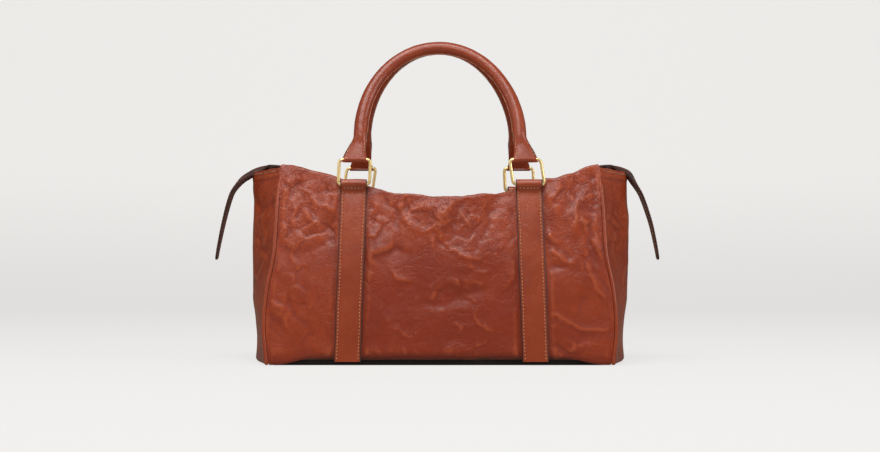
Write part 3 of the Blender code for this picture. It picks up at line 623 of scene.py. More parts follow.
# %% [markdown]
# ## The stitches
#
# A saddler sews with waxed thread at an even pitch. One stitch is modelled once, as a flattened ball, and copied to
# every place of a seam. A seam is a list of places, each with the way out of the leather. The stitches are turned a
# little against the seam, as a pricking iron sets them.


# %% One stitch, and seams of it
def little_ball(name, place, half_sides):
    bpy.ops.mesh.primitive_uv_sphere_add(segments=6, ring_count=4, radius=1.0)
    ball = bpy.context.object
    ball.name = name
    ball.data.transform(Matrix.Translation(place) @ Matrix.Diagonal((*half_sides, 1.0)))
    return ball


stitch = little_ball("one_stitch", (0, 0, 0.00012), (0.00044, 0.00125, 0.00034))
# Painted shade: a flat dark spot that stands for the shade inside each pricked hole.
hole_shade = little_ball("one_hole", (0, 0, 0), (0.00050, 0.00062, 0.00016))
STITCH_PITCH, STITCH_SLANT = 0.0039, Matrix.Rotation(0.22, 4, "Z")


def copies(name, master, places):
    """One mesh that holds the master once for each place: a matrix."""
    shape = np.array([(*vertex.co, 1.0) for vertex in master.data.vertices])
    faces = [tuple(polygon.vertices) for polygon in master.data.polygons]
    points, all_faces = [], []
    for number, place in enumerate(places):
        points.extend((shape @ np.array(place).T)[:, :3].tolist())
        all_faces.extend(tuple(index + number * len(shape) for index in face) for face in faces)
    mesh = bpy.data.meshes.new(name)
    mesh.from_pydata(points, [], all_faces)
    piece = bpy.data.objects.new(name, mesh)
    bpy.context.collection.objects.link(piece)
    return smooth(piece, 60)


def seam(line, pitch=STITCH_PITCH):
    """Stitch places at an even pitch along a list of (place, way out): matrices with Y along and Z out."""
    lengths = [0.0]
    for (first, _), (second, _) in zip(line, line[1:]):
        lengths.append(lengths[-1] + (second - first).length)
    places = []
    for number in range(int(lengths[-1] / pitch)):
        run = (number + 0.5) * pitch
        k = max(i for i in range(len(line) - 1) if lengths[i] <= run)
        share = (run - lengths[k]) / (lengths[k + 1] - lengths[k])
        along = (line[k + 1][0] - line[k][0]).normalized()
        out = line[k][1].lerp(line[k + 1][1], share).normalized()
        across = along.cross(out).normalized()
        turn = Matrix((across, along, across.cross(along))).transposed().to_4x4()
        spot = line[k][0].lerp(line[k + 1][0], share)
        places.append(Matrix.Translation(spot) @ turn @ STITCH_SLANT)
    return places


def sewn(name, body, places, pitch=STITCH_PITCH):
    """The thread of some seams, and a dark spot of painted shade where it dives into the leather at each pricked
    hole.
    """
    halfway = Matrix.Translation((0, pitch / 2, 0))
    hole_shades = copies("holes_for_" + name, hole_shade, [place @ halfway for place in places])
    thread = copies(name, stitch, places)
    dress(hole_shades, body, "smooth_leather", edge_paint, nodes=[])
    return dress(thread, body, "cotton_cord", tan_thread, nodes=[]), hole_shades


print("one stitch, every", round(1000 * STITCH_PITCH, 1), "mm along a seam")

# %% [markdown]
# ## Crumpled leather as a height
#
# Crumpled leather is made of nearly flat facets that meet in soft creases. Here each facet has a middle and a small
# tilt of its own, and every point of the hide takes the height of the facets nearest to it, mixed softly. Three
# sizes of facets are added to a slow swell. They are strong under the top edge, where the hide hangs loose, and
# weak lower down, where the board holds it. The few large folds that give this bag its character are laid over them
# one by one, in millimetres, as a leatherworker would note them on a pattern.

# %% The rule for crumpled leather
FACET_SIZES = ((0.046, 0.052, 0.31), (0.018, 0.039, 0.25), (0.0075, 0.028, 0.24))
CREST_HEIGHT, CREST_ROUNDS = 0.00020, 10


def facets(x, z, size, tilt, softness, seed):
    """Heights of facets about that wide, in metres. A tilt of 0.1 rises by a tenth of the way."""
    chance = np.random.default_rng(round(seed * 100 + size * 10000))
    across = np.arange(x.min() - size, x.max() + size, size)
    upwards = np.arange(z.min() - size, z.max() + size, size * 0.87)
    total, weight = np.zeros_like(x), np.full_like(x, 1e-12)
    for number, middle_z in enumerate(upwards):
        for middle_x in across + (number % 2) * size / 2:
            own_x, own_z = np.array([middle_x, middle_z]) + chance.uniform(-0.42, 0.42, 2) * size
            tilt_x, tilt_z, lift = chance.normal(0.0, tilt, 3)
            near = np.abs(x - own_x) < 2.2 * size
            dx, dz = x[near] - own_x, z[near] - own_z
            share = np.exp(-(dx**2 + dz**2) / (softness * size) ** 2)
            total[near] += share * (lift * size * 0.35 + tilt_x * dx + tilt_z * dz)
            weight[near] += share
    return total / weight


def swells(x, z, by_x, by_z, layer):
    return np.array([rough(a * by_x, b * by_z, layer) for a, b in zip(x, z)])


def drift(x, z, by, layer, reach):
    """Small moves of the places, in two directions, so that no crease runs straight."""
    moves = [noise.noise_vector(Vector((a * by, b * by, layer)))[:2] for a, b in zip(x, z)]
    return np.array(moves).T * reach


def crumple(x, z, seed):
    """Heights of the crumple at arrays of places."""
    large, small = drift(x, z, 30, seed, 0.009), drift(x, z, 95, seed + 5, 0.0028)
    total = swells(x, z, 13, 15, seed + 9) * 0.0019
    for size, tilt, softness in FACET_SIZES:
        calm = swells(x, z, 21, 21, seed + size * 900)
        upper = 0.34 + 0.66 * np.clip((z - 0.085) / 0.085, 0.0, 1.0)
        strong = np.clip(0.75 + calm * 1.6, 0.12, 1.6) * upper
        total += facets(x + large[0] + small[0], z + large[1] + small[1], size, tilt, softness, seed) * strong
    return total


def fold_heights(x, z, folds):
    """Heights of listed folds. A fold: x1, z1, x2, z2, rise and half width, in millimetres."""
    total = np.zeros_like(x)
    for x1, z1, x2, z2, rise, width in np.array(folds, dtype=float).reshape(-1, 6) / 1000:
        run_x, run_z = x2 - x1, z2 - z1
        share = np.clip(((x - x1) * run_x + (z - z1) * run_z) / (run_x**2 + run_z**2), 0.0, 1.0)
        bow = 0.12 * np.sin(math.pi * share)
        away = np.hypot(x - x1 - run_x * share - run_z * bow, z - z1 - run_z * share + run_x * bow)
        rounded = np.sqrt(away**2 + (0.3 * width) ** 2) - 0.3 * width
        total += rise * np.exp(-((rounded / width) ** 1.3)) * np.sqrt(np.sin(math.pi * (0.06 + 0.88 * share)))
    return total


def crumpled(piece, columns, rows, axis, seed, folds, keep):
    """Presses the crumple into a laid grid. On the flat hide a point's place is its height and its coordinate of
    that axis. There, keep gives the share of the relief that stays and what is added to it."""
    mesh = piece.data
    points = np.array([vertex.co for vertex in mesh.vertices])
    x, z = points[:, axis], points[:, 2]
    heights = crumple(x, z, seed)
    wander = drift(x, z, 60, seed + 2, 0.004)
    heights += fold_heights(x + wander[0], z + wander[1], folds)
    shares, added = np.array([keep(a, b) for a, b in zip(x, z)]).T
    heights = heights * shares + added
    points += np.array([vertex.normal for vertex in mesh.vertices]) * heights[:, None]
    mesh.vertices.foreach_set("co", points.ravel())
    level = calm = heights.reshape(rows + 1, columns + 1)
    for _ in range(CREST_ROUNDS):
        wide = np.pad(calm, 1, mode="edge")
        calm = (wide[:-2, 1:-1] + wide[2:, 1:-1] + wide[1:-1, :-2] + wide[1:-1, 2:] + calm * 2) / 6
    crest = mesh.attributes.new("crest", "FLOAT", "POINT")
    crest.data.foreach_set("value", np.clip((level - calm) / CREST_HEIGHT, -1.5, 1.5).ravel())
    mesh.update()
    print(piece.name, "relief from", round(heights.min() * 1000, 2), "to", round(heights.max() * 1000, 2), "mm")


def hide_piece(piece, half_turn):
    """A crumpled grid becomes leather: it is turned to its side of the bag and takes its thickness."""
    piece.data.transform(HALF_TURN[half_turn])
    apply(piece, "SOLIDIFY", thickness=LEATHER, offset=-1)
    return dress(smooth(piece, 60), "bag_body", "crinkled_leather", hide)


def mirrored(folds, weaker=1.0):
    return [(-a, b, -c, d, rise * weaker, width) for a, b, c, d, rise, width in folds]


print("crumple: facets of", [round(1000 * size, 1) for size, _, _ in FACET_SIZES], "mm")

# %% [markdown]
# ## The front and back panels
#
# Each panel is one hide: as wide as the bag at its foot, drawn in to the corners, its top edge turned over and
# dipping in the middle. The hide is flat where a strap is sewn over it, and loose between them. The front's large
# folds fan out under the top edge and gather towards the right corner seam.

# %% Panels
PANEL_COLUMNS, PANEL_ROWS, LIP_SHARE, LIP = 256, 142, 0.95, 0.0022
STRAP_HALF, RING_HINGE_Z = 0.01475, 0.2026
STRAP_LINES = {-1: (0.1029, 0.0971), 1: (0.1063, 0.1002)}
CROWN_WAVES = ((-180, 0.5), (-168, 2.6), (-154, 3.0), (-141, 2.3), (-127, 3.2), (-110, 2.2), (-97, 1.1),
               (-72, 0.9), (-59, -0.9), (-45, -0.9), (-31, 0.0), (0, -0.1), (20, -1.3), (36, -2.6), (50, -2.8),
               (63, -3.8), (80, -3.0), (97, -1.2), (118, 0.1), (131, -2.3), (145, -1.3), (158, 0.6), (172, 1.3),
               (180, 0.6))


def strap_middle(z, side):
    """The straps aren't sewn on quite evenly: each side has its own place at the foot and at the ring."""
    foot, head = STRAP_LINES[side]
    return mix(foot, head, z / RING_HINGE_Z)


def closed(z):
    """How far the hides reach into the seam: not at all beside the open welt, and fully at its top."""
    return ease((z - 0.187) / 0.006)


def foot_lift(x):
    """The panel's lower edge stands off the floor in the middle, and touches it at the corners."""
    return (0.0066 + 0.0009 * rough(x * 38, 5.1, 0.0)) * ease((0.188 - abs(x)) / 0.045)


def panel_surface(u, v):
    """The front panel's outer face, and the edge that is turned over at its top."""
    across = 2 * u - 1
    wave = 0.0007 * rough(across * 9, 3.3, 0) + 0.0004 * rough(across * 27, 7.7, 0)
    crown = panel_top(across) + wave * (1 - across**4) + curve_through(180 * across, CROWN_WAVES) / 1000
    turn = max(v - LIP_SHARE, 0.0) / (1 - LIP_SHARE) * math.pi / 2
    low = FOOT + foot_lift(seam_x(0.0) * across)
    z = mix(low, crown - LIP, min(v / LIP_SHARE, 1.0)) + LIP * math.sin(turn)
    edge = seam_x(z) - mix(WELT + GAP, 0.0003, closed(z))
    inward = LIP * (1 - math.cos(turn)) + foot_inset(z + FOOT - low, 0.005)
    return Vector((edge * across, inward - depth_at(z), z))


def panel_keep(x, z):
    """How much crumple stays: none at the seams, and hardly any under the straps."""
    inside = ease((seam_x(z) - WELT - GAP - abs(x)) / 0.007)
    to_strap = abs(abs(x) - strap_middle(z, -1 if x < 0 else 1)) - STRAP_HALF
    loose = ease((to_strap + 0.001) / 0.009)
    share = inside * mix(0.25, 1.0, ease((z - FOOT) / 0.016)) * loose
    roll = 0.0011 * math.exp(-(((z - 0.016) / 0.008) ** 2)) * (0.6 + rough(x * 30, 1.0, 4.0)) * loose
    return share, -0.0005 * (1 - loose) + roll * inside


FRONT_FOLDS = (
    (-155, 207, -167, 192, -1.6, 3.2), (-152, 173, -138, 160, 1.1, 2.2), (-160, 184, -162, 146, 0.8, 2.0),
    (-166, 133, -160, 112, 0.7, 2.2), (-131, 160, -116, 148, -1.0, 3.0), (-146, 190, -134, 178, 1.2, 4.0),
    (-128, 186, -121, 172, 1.0, 4.0), (-74, 176, -77, 160, 1.2, 4.2), (-87, 128, -72, 113, 1.0, 3.0),
    (-52, 105, -35, 94, 0.9, 3.0), (-191, 77, -173, 62, 0.8, 2.0), (-170, 84, -142, 36, -0.6, 3.0),
    (-62, 196, -48, 172, -1.0, 4.0), (-44, 186, -30, 152, 0.9, 3.4), (-28, 182, -52, 158, -0.8, 3.0),
    (14, 182, 2, 142, 1.2, 3.4), (27, 184, 14, 146, -1.0, 3.4), (45, 180, 34, 150, 0.8, 4.0),
    (62, 176, 52, 138, -0.8, 4.0), (8, 136, 44, 120, 0.8, 2.6), (-10, 148, 20, 132, -0.7, 3.0),
    (118, 150, 133, 138, 1.4, 2.8), (126, 132, 148, 114, 1.2, 3.4), (121, 118, 140, 108, -0.9, 3.0),
    (168, 200, 150, 150, 0.9, 4.0), (152, 196, 141, 158, -0.9, 4.0), (176, 178, 198, 96, 1.2, 2.6),
    (170, 168, 192, 74, -0.9, 3.0), (158, 172, 196, 120, 0.9, 2.2), (164, 128, 200, 60, 0.6, 2.2),
    (127, 56, 192, 43, 0.9, 2.6), (128, 22, 152, 13, -1.2, 3.0), (140, 30, 180, 26, 0.6, 3.0),
    (36, 62, 58, 36, 0.7, 3.0), (-20, 70, 30, 78, -0.6, 4.0), (-66, 62, -30, 30, 0.5, 4.0),
)
BACK_FOLDS = mirrored(FRONT_FOLDS[3::2], 0.9)

for name, seed, folds, half_turn in (("front", 3.0, FRONT_FOLDS, False), ("back", 41.0, BACK_FOLDS, True)):
    piece = lay(f"hide_{name}_panel", PANEL_COLUMNS, PANEL_ROWS, panel_surface)
    crumpled(piece, PANEL_COLUMNS, PANEL_ROWS, 0, seed, folds, panel_keep)
    hide_piece(piece, half_turn)

# %% [markdown]
# ## The side gussets
#
# A gusset is the narrow side of the bag, folded outwards down its middle so that the bag can close flat. Its top is
# hemmed and stitched. Its soft fold is what shows as the wavy outline at the bag's left and right.

# %% Gussets
GUSSET_COLUMNS, GUSSET_ROWS, HEM_ROW = 110, 142, 140


def gusset_surface(u, v):
    across = 2 * u - 1
    z = mix(FOOT, gusset_top(across), v)
    corner = Vector((seam_x(z), math.copysign(depth_at(z) - LEATHER / 2, across), z))
    nearer = (corner - Vector((fold_x(z), 0.0, z))).normalized() * (WELT + SEAM_GAP - 0.0004) * closed(z)
    tucked = Vector((foot_inset(z, 0.0055) * (1 - across**6), 0.0, 0.0))
    return gusset_point(across, z) + nearer * abs(across) ** 6 - tucked


def gusset_keep(y, z):
    """None of the crumple stays at the seams, and little of it at the hem, which is thicker, and along the fold."""
    across = abs(y) / gusset_point(1.0, z).y
    hem = 0.0006 * ease((z - gusset_top(across) + 0.0105) / 0.002)
    share = ease((1 - across) / 0.12) * ease((z - FOOT) / 0.012) * (1 - 0.85 * ease((z - 0.175) / 0.035))
    return share * (0.75 - 0.4 * ease((0.35 - across) / 0.3)), hem


GUSSET_FOLDS = mirrored((
    (-22, 146, -52, 128, -1.3, 3.4), (-8, 120, -34, 96, 1.2, 3.0), (6, 168, -6, 128, 0.9, 3.0),
    (-50, 118, -30, 60, 0.9, 3.6), (10, 110, 30, 84, -1.0, 3.4), (2, 84, -12, 30, 0.9, 3.0),
    (34, 150, 50, 112, 0.9, 3.6), (22, 66, 50, 28, 0.8, 4.0), (-40, 190, -36, 150, 0.7, 3.0),
    (40, 186, 30, 158, -0.8, 3.0),
))
hem_stitches = []
RIGHT_BULGE = [(0, 172, 0, 108, 4.6, 15)]
for name, seed, own_folds, half_turn in (("right", 17.0, RIGHT_BULGE, False), ("left", 29.0, [], True)):
    piece = lay(f"hide_{name}_gusset", GUSSET_COLUMNS, GUSSET_ROWS, gusset_surface)
    crumpled(piece, GUSSET_COLUMNS, GUSSET_ROWS, 1, seed, GUSSET_FOLDS + own_folds, gusset_keep)
    first, turn = HEM_ROW * (GUSSET_COLUMNS + 1), HALF_TURN[half_turn].to_3x3()
    hem = [piece.data.vertices[first + column] for column in range(4, GUSSET_COLUMNS - 3)]
    hem_stitches += seam([(turn @ vertex.co, turn @ vertex.normal) for vertex in hem])
    hide_piece(piece, half_turn)

# %% [markdown]
# ## The base
#
# The base is a shallow tray of the same hide over a stiff board. It is cut a little smaller than the bag's outline,
# so the panels' lower edges stand in front of it, and what shows of it lies in deep shadow. Its leather is coloured
# nearly black, as painted shade for that shadow. Its grid is rolled up round that smaller outline and runs from the
# middle of the base out to its turned-up rim.

# %% Base
BASE_COLUMNS, BASE_ROWS, BASE_INSET, BASE_RIM, BASE_WALL = 216, 22, 0.007, 0.0035, 0.008


def base_outline(share):
    """A point of the bag's outline at its foot, for a share of the way round: panel, gusset, panel, gusset."""
    z = 2 * BASE_RIM
    front_x = seam_x(z) + WELT / 2
    side = (share * 4) % 4
    half = -1 if side >= 2 else 1
    side = side % 2
    if side < 1:
        point = Vector((mix(-front_x, front_x, side), -depth_at(z)))
    else:
        point = gusset_point(mix(-1.0, 1.0, side - 1), z)
    return Vector((point.x, point.y)) * half


def base_surface(u, v):
    """Flat out to the rim, then a quarter round, then straight up behind the panels' edges."""
    angle = min(max(v - 0.5, 0.0) / 0.3, 1.0) * math.pi / 2
    inset = BASE_INSET + BASE_RIM * (1 - math.sin(angle))
    z = BASE_RIM * (1 - math.cos(angle)) + BASE_WALL * max(v - 0.8, 0.0) / 0.2
    point = base_outline(1 - u) * min(v / 0.5, 1.0)
    return Vector((point.x * (1 - inset / FOLD_X), point.y * (1 - inset / BASE_HALF_DEPTH), z))


base = edit(lay("hide_base", BASE_COLUMNS, BASE_ROWS, base_surface), weld, outwards)
apply(base, "SOLIDIFY", thickness=LEATHER, offset=-1)
dress(smooth(base, 50), "bag_body", "crinkled_leather", base_shadow_black, nodes=["base_panel"])
print("base", [round(1000 * side, 1) for side in base.dimensions], "mm")

# %% [markdown]
# ## The corner welts
#
# Each corner seam is covered by a welt: a strip of hide folded over a thin cord. It is a tube with a changing
# radius, swept along the seam. Above the corner's open part it is pressed thin, where the hides meet in a plain
# seam, and it ends in a small round tip.

# %% Welts
WELT_SIDES, WELT_ROWS, WELT_THIN, TIP = 14, 150, 0.0009, 0.004


def welt(name, side_x, side_y):
    def line(share):
        z = mix(FOOT + 0.001, BODY_HEIGHT - 0.0008, min(max(share, 0.0), 1.0))
        bend = 0.0003 * rough(z * 45, side_x * 3.0, side_y * 5.0)
        inward = LEATHER / 2 + foot_inset(z, 0.004)
        return Vector((side_x * (seam_x(z) + bend), side_y * (depth_at(z) - inward), z))

    loops = []
    for share in np.linspace(0.0, 1.0, WELT_ROWS + 1):
        along = (line(share + TIP) - line(share - TIP)).normalized()
        first = along.cross(Vector((0, 1, 0))).normalized()
        second = along.cross(first)
        radius = mix(WELT, WELT_THIN, ease((mix(FOOT, BODY_HEIGHT, share) - 0.2012) / 0.007))
        radius *= min(1.0, math.sqrt(max((1 - share) / TIP, 0.02)))
        angles = [2 * math.pi * side / WELT_SIDES for side in range(WELT_SIDES)]
        loops.append([line(share) + (first * math.cos(a) + second * math.sin(a)) * radius for a in angles])
    dress(smooth(rolled(name, loops), 50), "bag_body", "crinkled_leather", strap_hide)


for side_x, side_y, sidewise, depthwise in CORNERS:
    welt(f"hide_{depthwise}_{sidewise}_piping", side_x, side_y)
print("4 welts of", round(2000 * WELT, 1), "mm")

# %% [markdown]
# ## The straps
#
# Four straps carry the bag. Each is a smooth strip, folded round the ring's lower bar and sewn down on the panel in
# two rows, so its middle stands a little proud between the rows. Its cut edges are painted dark. It is a grid laid
# along the strap's path: up the front, round the bar, and down again behind itself. Solidify gives it the leather's
# thickness, and its rim takes the edge paint.

# %% Straps
STRAP_LIFT, STRAP_PLY, STRAP_HEAD, STRAP_FOOT, STITCH_EDGE = 0.0033, 0.00142, 0.0052, 0.0046, 0.8
RING_N, STITCH_TOP, NECK, HEAD_PITCH = 0.06007, 0.1986, 0.0085, 0.00392
STRAP_COLUMNS, FRONT_ROWS, BACK_ROWS = 56, 104, 44


def strap_path():
    """Places along the strap, as distance from the bag's middle and height."""
    def level(z, lift, head):
        return mix(depth_at(z) + lift, RING_N + head, ease((z - RING_HINGE_Z + NECK) / NECK)), z

    path = [level(z, STRAP_LIFT, STRAP_HEAD) for z in np.linspace(STRAP_FOOT, RING_HINGE_Z, FRONT_ROWS)]
    for turn in np.radians(np.linspace(0, 180, 15))[1:-1]:
        rise = STRAP_HEAD * 1.25 * math.sin(turn)
        path.append((RING_N + STRAP_HEAD * math.cos(turn), RING_HINGE_Z + rise))
    return path + [level(z, GAP, -STRAP_HEAD) for z in np.linspace(RING_HINGE_Z, STRAP_FOOT, BACK_ROWS)]


def strap_frames(path):
    """For each place of the path, the place and the way out of it, as vectors in the plane across the bag."""
    frames = []
    for row, (n, z) in enumerate(path):
        (n1, z1), (n2, z2) = path[max(row - 1, 0)], path[min(row + 1, len(path) - 1)]
        along = Vector((0.0, n1 - n2, z2 - z1)).normalized()
        frames.append((Vector((0.0, -n, z)), Vector((0.0, -along.z, along.y))))
    return frames


STRAP_FRAMES = strap_frames(strap_path())


def strap_place(row, across, side_x, seed):
    """A point of the strap's outer face, for a share from -1 to 1 across it."""
    place, out = STRAP_FRAMES[row]
    on_front = ease((STITCH_TOP + 0.0018 - place.z) / 0.0016) if row < FRONT_ROWS else 0.0
    dome = 0.00042 * (1 - min(abs(across) / STITCH_EDGE, 1.0) ** 2.4)
    groove = 0.00030 * math.exp(-(((abs(across) - STITCH_EDGE) / 0.05) ** 2))
    spot = Vector((across * 0.3 + seed, place.z * 22, row // FRONT_ROWS))
    uneven = 0.00045 * rough(*spot) + 0.00018 * rough(*(spot * 4.1))
    edge = 0.0004 * rough(math.copysign(4.0, across) + seed, place.z * 38, 2.0)
    middle = side_x * strap_middle(min(place.z, RING_HINGE_Z), side_x)
    worn = 0.0004 * max((abs(across) - 0.93) / 0.07, 0.0) ** 2
    ledge = 0.0005 * (1 - on_front) * ease((FRONT_ROWS + 14 - row) / 6)
    out_by = on_front * (dome - groove) + uneven * (1 - abs(across) ** 4) - worn - ledge
    return place + out * out_by + Vector((middle + STRAP_HALF * across + edge, 0.0, 0.0))


def strap(name, side_x, half_turn, seed):
    """Makes one strap and gives the places of its stitches."""
    def spot(row, across):
        return strap_place(row, across, -side_x if half_turn else side_x, seed)

    rows = len(STRAP_FRAMES) - 1
    piece = lay(name, STRAP_COLUMNS, rows, lambda u, v: spot(round(v * rows), 2 * u - 1))
    piece.data.transform(HALF_TURN[half_turn])
    paint(piece, strap_hide, edge_paint)
    # The face's two outermost columns on each side take the edge paint where it rolls over the edge; in part this
    # dark band is painted shade along the strap's sides.
    for number, polygon in enumerate(piece.data.polygons):
        polygon.material_index = int(number % STRAP_COLUMNS in (0, 1, STRAP_COLUMNS - 2, STRAP_COLUMNS - 1))
    apply(piece, "SOLIDIFY", thickness=STRAP_PLY, offset=-1, material_offset_rim=1)
    dress(smooth(piece, 40), "bag_body", "smooth_leather")

    sewn_rows = [row for row in range(1, FRONT_ROWS) if STRAP_FRAMES[row][0].z < STITCH_TOP]
    head = sewn_rows[-1] + 1
    places = []
    for across in (-STITCH_EDGE, STITCH_EDGE):
        places += seam([(spot(row, across), STRAP_FRAMES[row][1]) for row in sewn_rows])
    shares = np.linspace(-STITCH_EDGE, STITCH_EDGE, 9)
    places += seam([(spot(head, share), STRAP_FRAMES[head][1]) for share in shares], HEAD_PITCH)
    return [HALF_TURN[half_turn] @ place for place in places]


strap_stitches = []
for number, (side_x, side_y, sidewise, depthwise) in enumerate(CORNERS):
    strap_stitches += strap(f"hide_{depthwise}_{sidewise}_strap", side_x, side_y > 0, 3.0 + 7 * number)
sewn("stitches_of_straps", "bag_body", strap_stitches)
sewn("stitches_of_hems", "bag_body", hem_stitches)
print("4 straps of", round(2000 * STRAP_HALF, 1), "mm with", len(strap_stitches), "stitches")

# %% [markdown]
# ## The rings
#
# Each ring is bent from round wire with rounded corners and then plated. It starts as a flat rectangle: its corners
# are bevelled, its face is removed, and the outline that is left becomes a curve with a round section. The rings
# lean a little towards the bag's middle, where the handle pulls them.

# %% Rings
RING_WIDTH, RING_HEIGHT, RING_WIRE, RING_CORNER, RING_TOP_X = 0.0383, 0.0315, 0.0032, 0.0055, 0.0959
SOFTER_CORNER, PLATING = 0.0003, 0.00022


def ring(name, side_x, side_y):
    deselect()
    tall = RING_HEIGHT - RING_WIRE
    foot_x = STRAP_LINES[-side_x * side_y][1]
    lean = (foot_x - RING_TOP_X) / tall
    bpy.ops.mesh.primitive_plane_add(size=1.0, rotation=(math.pi / 2, 0, 0))
    piece = bpy.context.object
    piece.name = piece.data.name = name
    piece.scale = (RING_WIDTH - RING_WIRE, tall, 1.0)
    bpy.ops.object.transform_apply(location=False, rotation=True, scale=True)
    corner = {"offset": RING_CORNER - RING_WIRE / 2 + SOFTER_CORNER, "segments": 7, "affect": "VERTICES"}
    edit(piece, lambda: bpy.ops.mesh.bevel(**corner), lambda: bpy.ops.mesh.delete(type="ONLY_FACE"))
    bpy.ops.object.convert(target="CURVE")
    piece = bpy.context.object
    piece.data.bevel_depth = RING_WIRE / 2 + PLATING
    piece.data.bevel_resolution = 6
    bpy.ops.object.convert(target="MESH")
    piece = bpy.context.object
    for vertex in piece.data.vertices:
        vertex.co.x -= side_x * lean * (vertex.co.z + tall / 2)
    piece.data.transform(Matrix.Translation((side_x * foot_x, side_y * RING_N, RING_HINGE_Z + tall / 2)))
    edit(piece, weld, outwards)
    dress(smooth(piece, 60), name.removeprefix("brass_"), "gold_metal", brass)


for side_x, side_y, sidewise, depthwise in CORNERS:
    ring(f"brass_{depthwise}_{sidewise}_ring", side_x, side_y)
print("4 rings of", round(1000 * RING_WIRE, 1), "mm wire")

# %% [markdown]
# ## The handles
#
# A handle is one strip of leather rolled round a cotton cord and sewn along its inner side, so that a flat flange
# stands out there. At both ends the strip opens out, grows flat and wraps its ring's top bar. One grid is rolled up
# along the whole way, from ring to ring. Its section changes on the way: round with a flange on the arch, wide and
# thin at the ends.

# %% The handle's line and its section
HALF_SPAN, SPRING, RISE, BAR_Z, TAB_TOP, TAB_X = 0.090, 0.2602, 0.1054, 0.2309, 0.262, 0.0957
ROLL, TAB_HALF, TAB_THIN, TAB_HEAD, LEAN, LEG_START = 0.0072, 0.0144, 0.0026, 0.0034, 0.38965, 0.86
FLANGE = ((6.86, 1.98), (7.02, 1.66), (7.16, 1.42), (7.32, 1.22), (7.48, 0.98), (7.58, 0.7), (7.62, 0.35))
FLANGE_HALF, FLANGE_TIP, FLANGE_ANGLE = 0.0076, 7.64, 161
OUT_OF_PLANE = Vector((0.0, -1.0, LEAN)).normalized()


def roll_section():
    """The arch's section in metres: a round with a flange on its inner side."""
    angles = np.linspace(0, math.radians(FLANGE_ANGLE), 20)
    round_part = [(1000 * ROLL * math.cos(t), 1000 * ROLL * math.sin(t)) for t in angles]
    upper = round_part + [(-a, b) for a, b in FLANGE]
    lower = [(a, -b) for a, b in reversed(upper[1:])]
    return [(a / 1000, b / 1000) for a, b in upper + [(-FLANGE_TIP, 0.0)] + lower]


SECTION = roll_section()


def arch_frame(run):
    """Place and way along the handle's middle line, for a run from -1 at the left ring to 1 at the right one."""
    side = math.copysign(1.0, run)
    if abs(run) > LEG_START:
        z = mix(SPRING, BAR_Z, (abs(run) - LEG_START) / (1 - LEG_START))
        share = (SPRING - z) / (SPRING - BAR_Z)
        x = mix(HALF_SPAN, TAB_X, ease(share))
        slope = (HALF_SPAN - TAB_X) * 6 * share * (1 - share) / (SPRING - BAR_Z)
        along = Vector((side * slope, LEAN, 1.0)) * -side
    else:
        angle = math.pi / 2 * (1 - abs(run) / LEG_START)
        c, s = math.cos(angle), math.sin(angle)
        x, z = HALF_SPAN * c, SPRING + RISE * s
        along = Vector((HALF_SPAN * s, -side * RISE * LEAN * c, -side * RISE * c))
    return Vector((side * x, (z - BAR_Z) * LEAN - RING_N, z)), along.normalized()


def fullness(z):
    """The roll is a little thicker down its legs than at its crown."""
    return 1 + 0.11 * ease((0.335 - z) / 0.07)


def tab_share(z):
    """How far down a tab a height lies: 0 where the tab starts and above it, 1 at the ring's bar."""
    return max((TAB_TOP - z) / (TAB_TOP - BAR_Z), 0.0)


def tab_half(z):
    return mix(FLANGE_HALF, TAB_HALF, tab_share(z) ** 1.9)


def tab_thickness(share):
    """Half the tab's thickness, and the power of its rounded section."""
    return mix(TAB_THIN, ROLL, (1 - share) ** 1.3), mix(2.0, 3.0, share)


def handle_point(run, a, b, seed):
    """A point of the handle's surface: a outwards across the roll and b out of the handle's plane."""
    middle, along = arch_frame(run)
    across = OUT_OF_PLANE.cross(along).normalized()
    turn = math.atan2(b, a)
    fold = 0.00016 * rough(run * 26, turn * 0.9, seed) + 0.00010 * rough(run * 75, turn * 1.3, seed + 4)
    size = 1 + fold / ROLL
    return middle + across * a * size + OUT_OF_PLANE * b * size


def handle_ab(run, index):
    """Section coordinates of one point at one run: round with its flange on the arch, flat at the ends."""
    a, b = SECTION[index]
    z = arch_frame(run)[0].z
    share, angle = tab_share(z), math.atan2(b, a)
    thin, power = tab_thickness(share)
    c, s = math.cos(angle), math.sin(angle)
    flat_a = math.copysign(abs(c) ** (2 / power), c) * tab_half(z)
    flat_b = math.copysign(abs(s) ** (2 / power), s) * thin
    stay = 1 - ease(share / 0.5)
    return mix(flat_a, a * fullness(z), stay), mix(flat_b, b * fullness(z), stay)


def handle_loop(run, seed, head=None):
    """One loop of the section. A head is a share of the way down the small round that closes the tab."""
    loop = []
    for index in range(len(SECTION)):
        a, b = handle_ab(run, index)
        down = Vector((0.0, 0.0, 0.0))
        if head is not None:
            b = math.copysign(TAB_HEAD, b) * math.sqrt(max(1 - head**2, 0.0)) * min(abs(b) / TAB_THIN, 1.0)
            down = Vector((0.0, LEAN, 1.0)).normalized() * (TAB_HEAD * head)
        loop.append(handle_point(run, a, b, seed) - down)
    return loop


print("the roll's section has", len(SECTION), "points")

# %% Handles
SWAY, BACK_WIDER, BACK_HIGHER = 0.0012, 0.0022, 0.0026
PAINTED, PALE_LINE, HEADS = 0.00025, 0.0007, (1.0, 0.97, 0.88, 0.7, 0.45, 0.2)


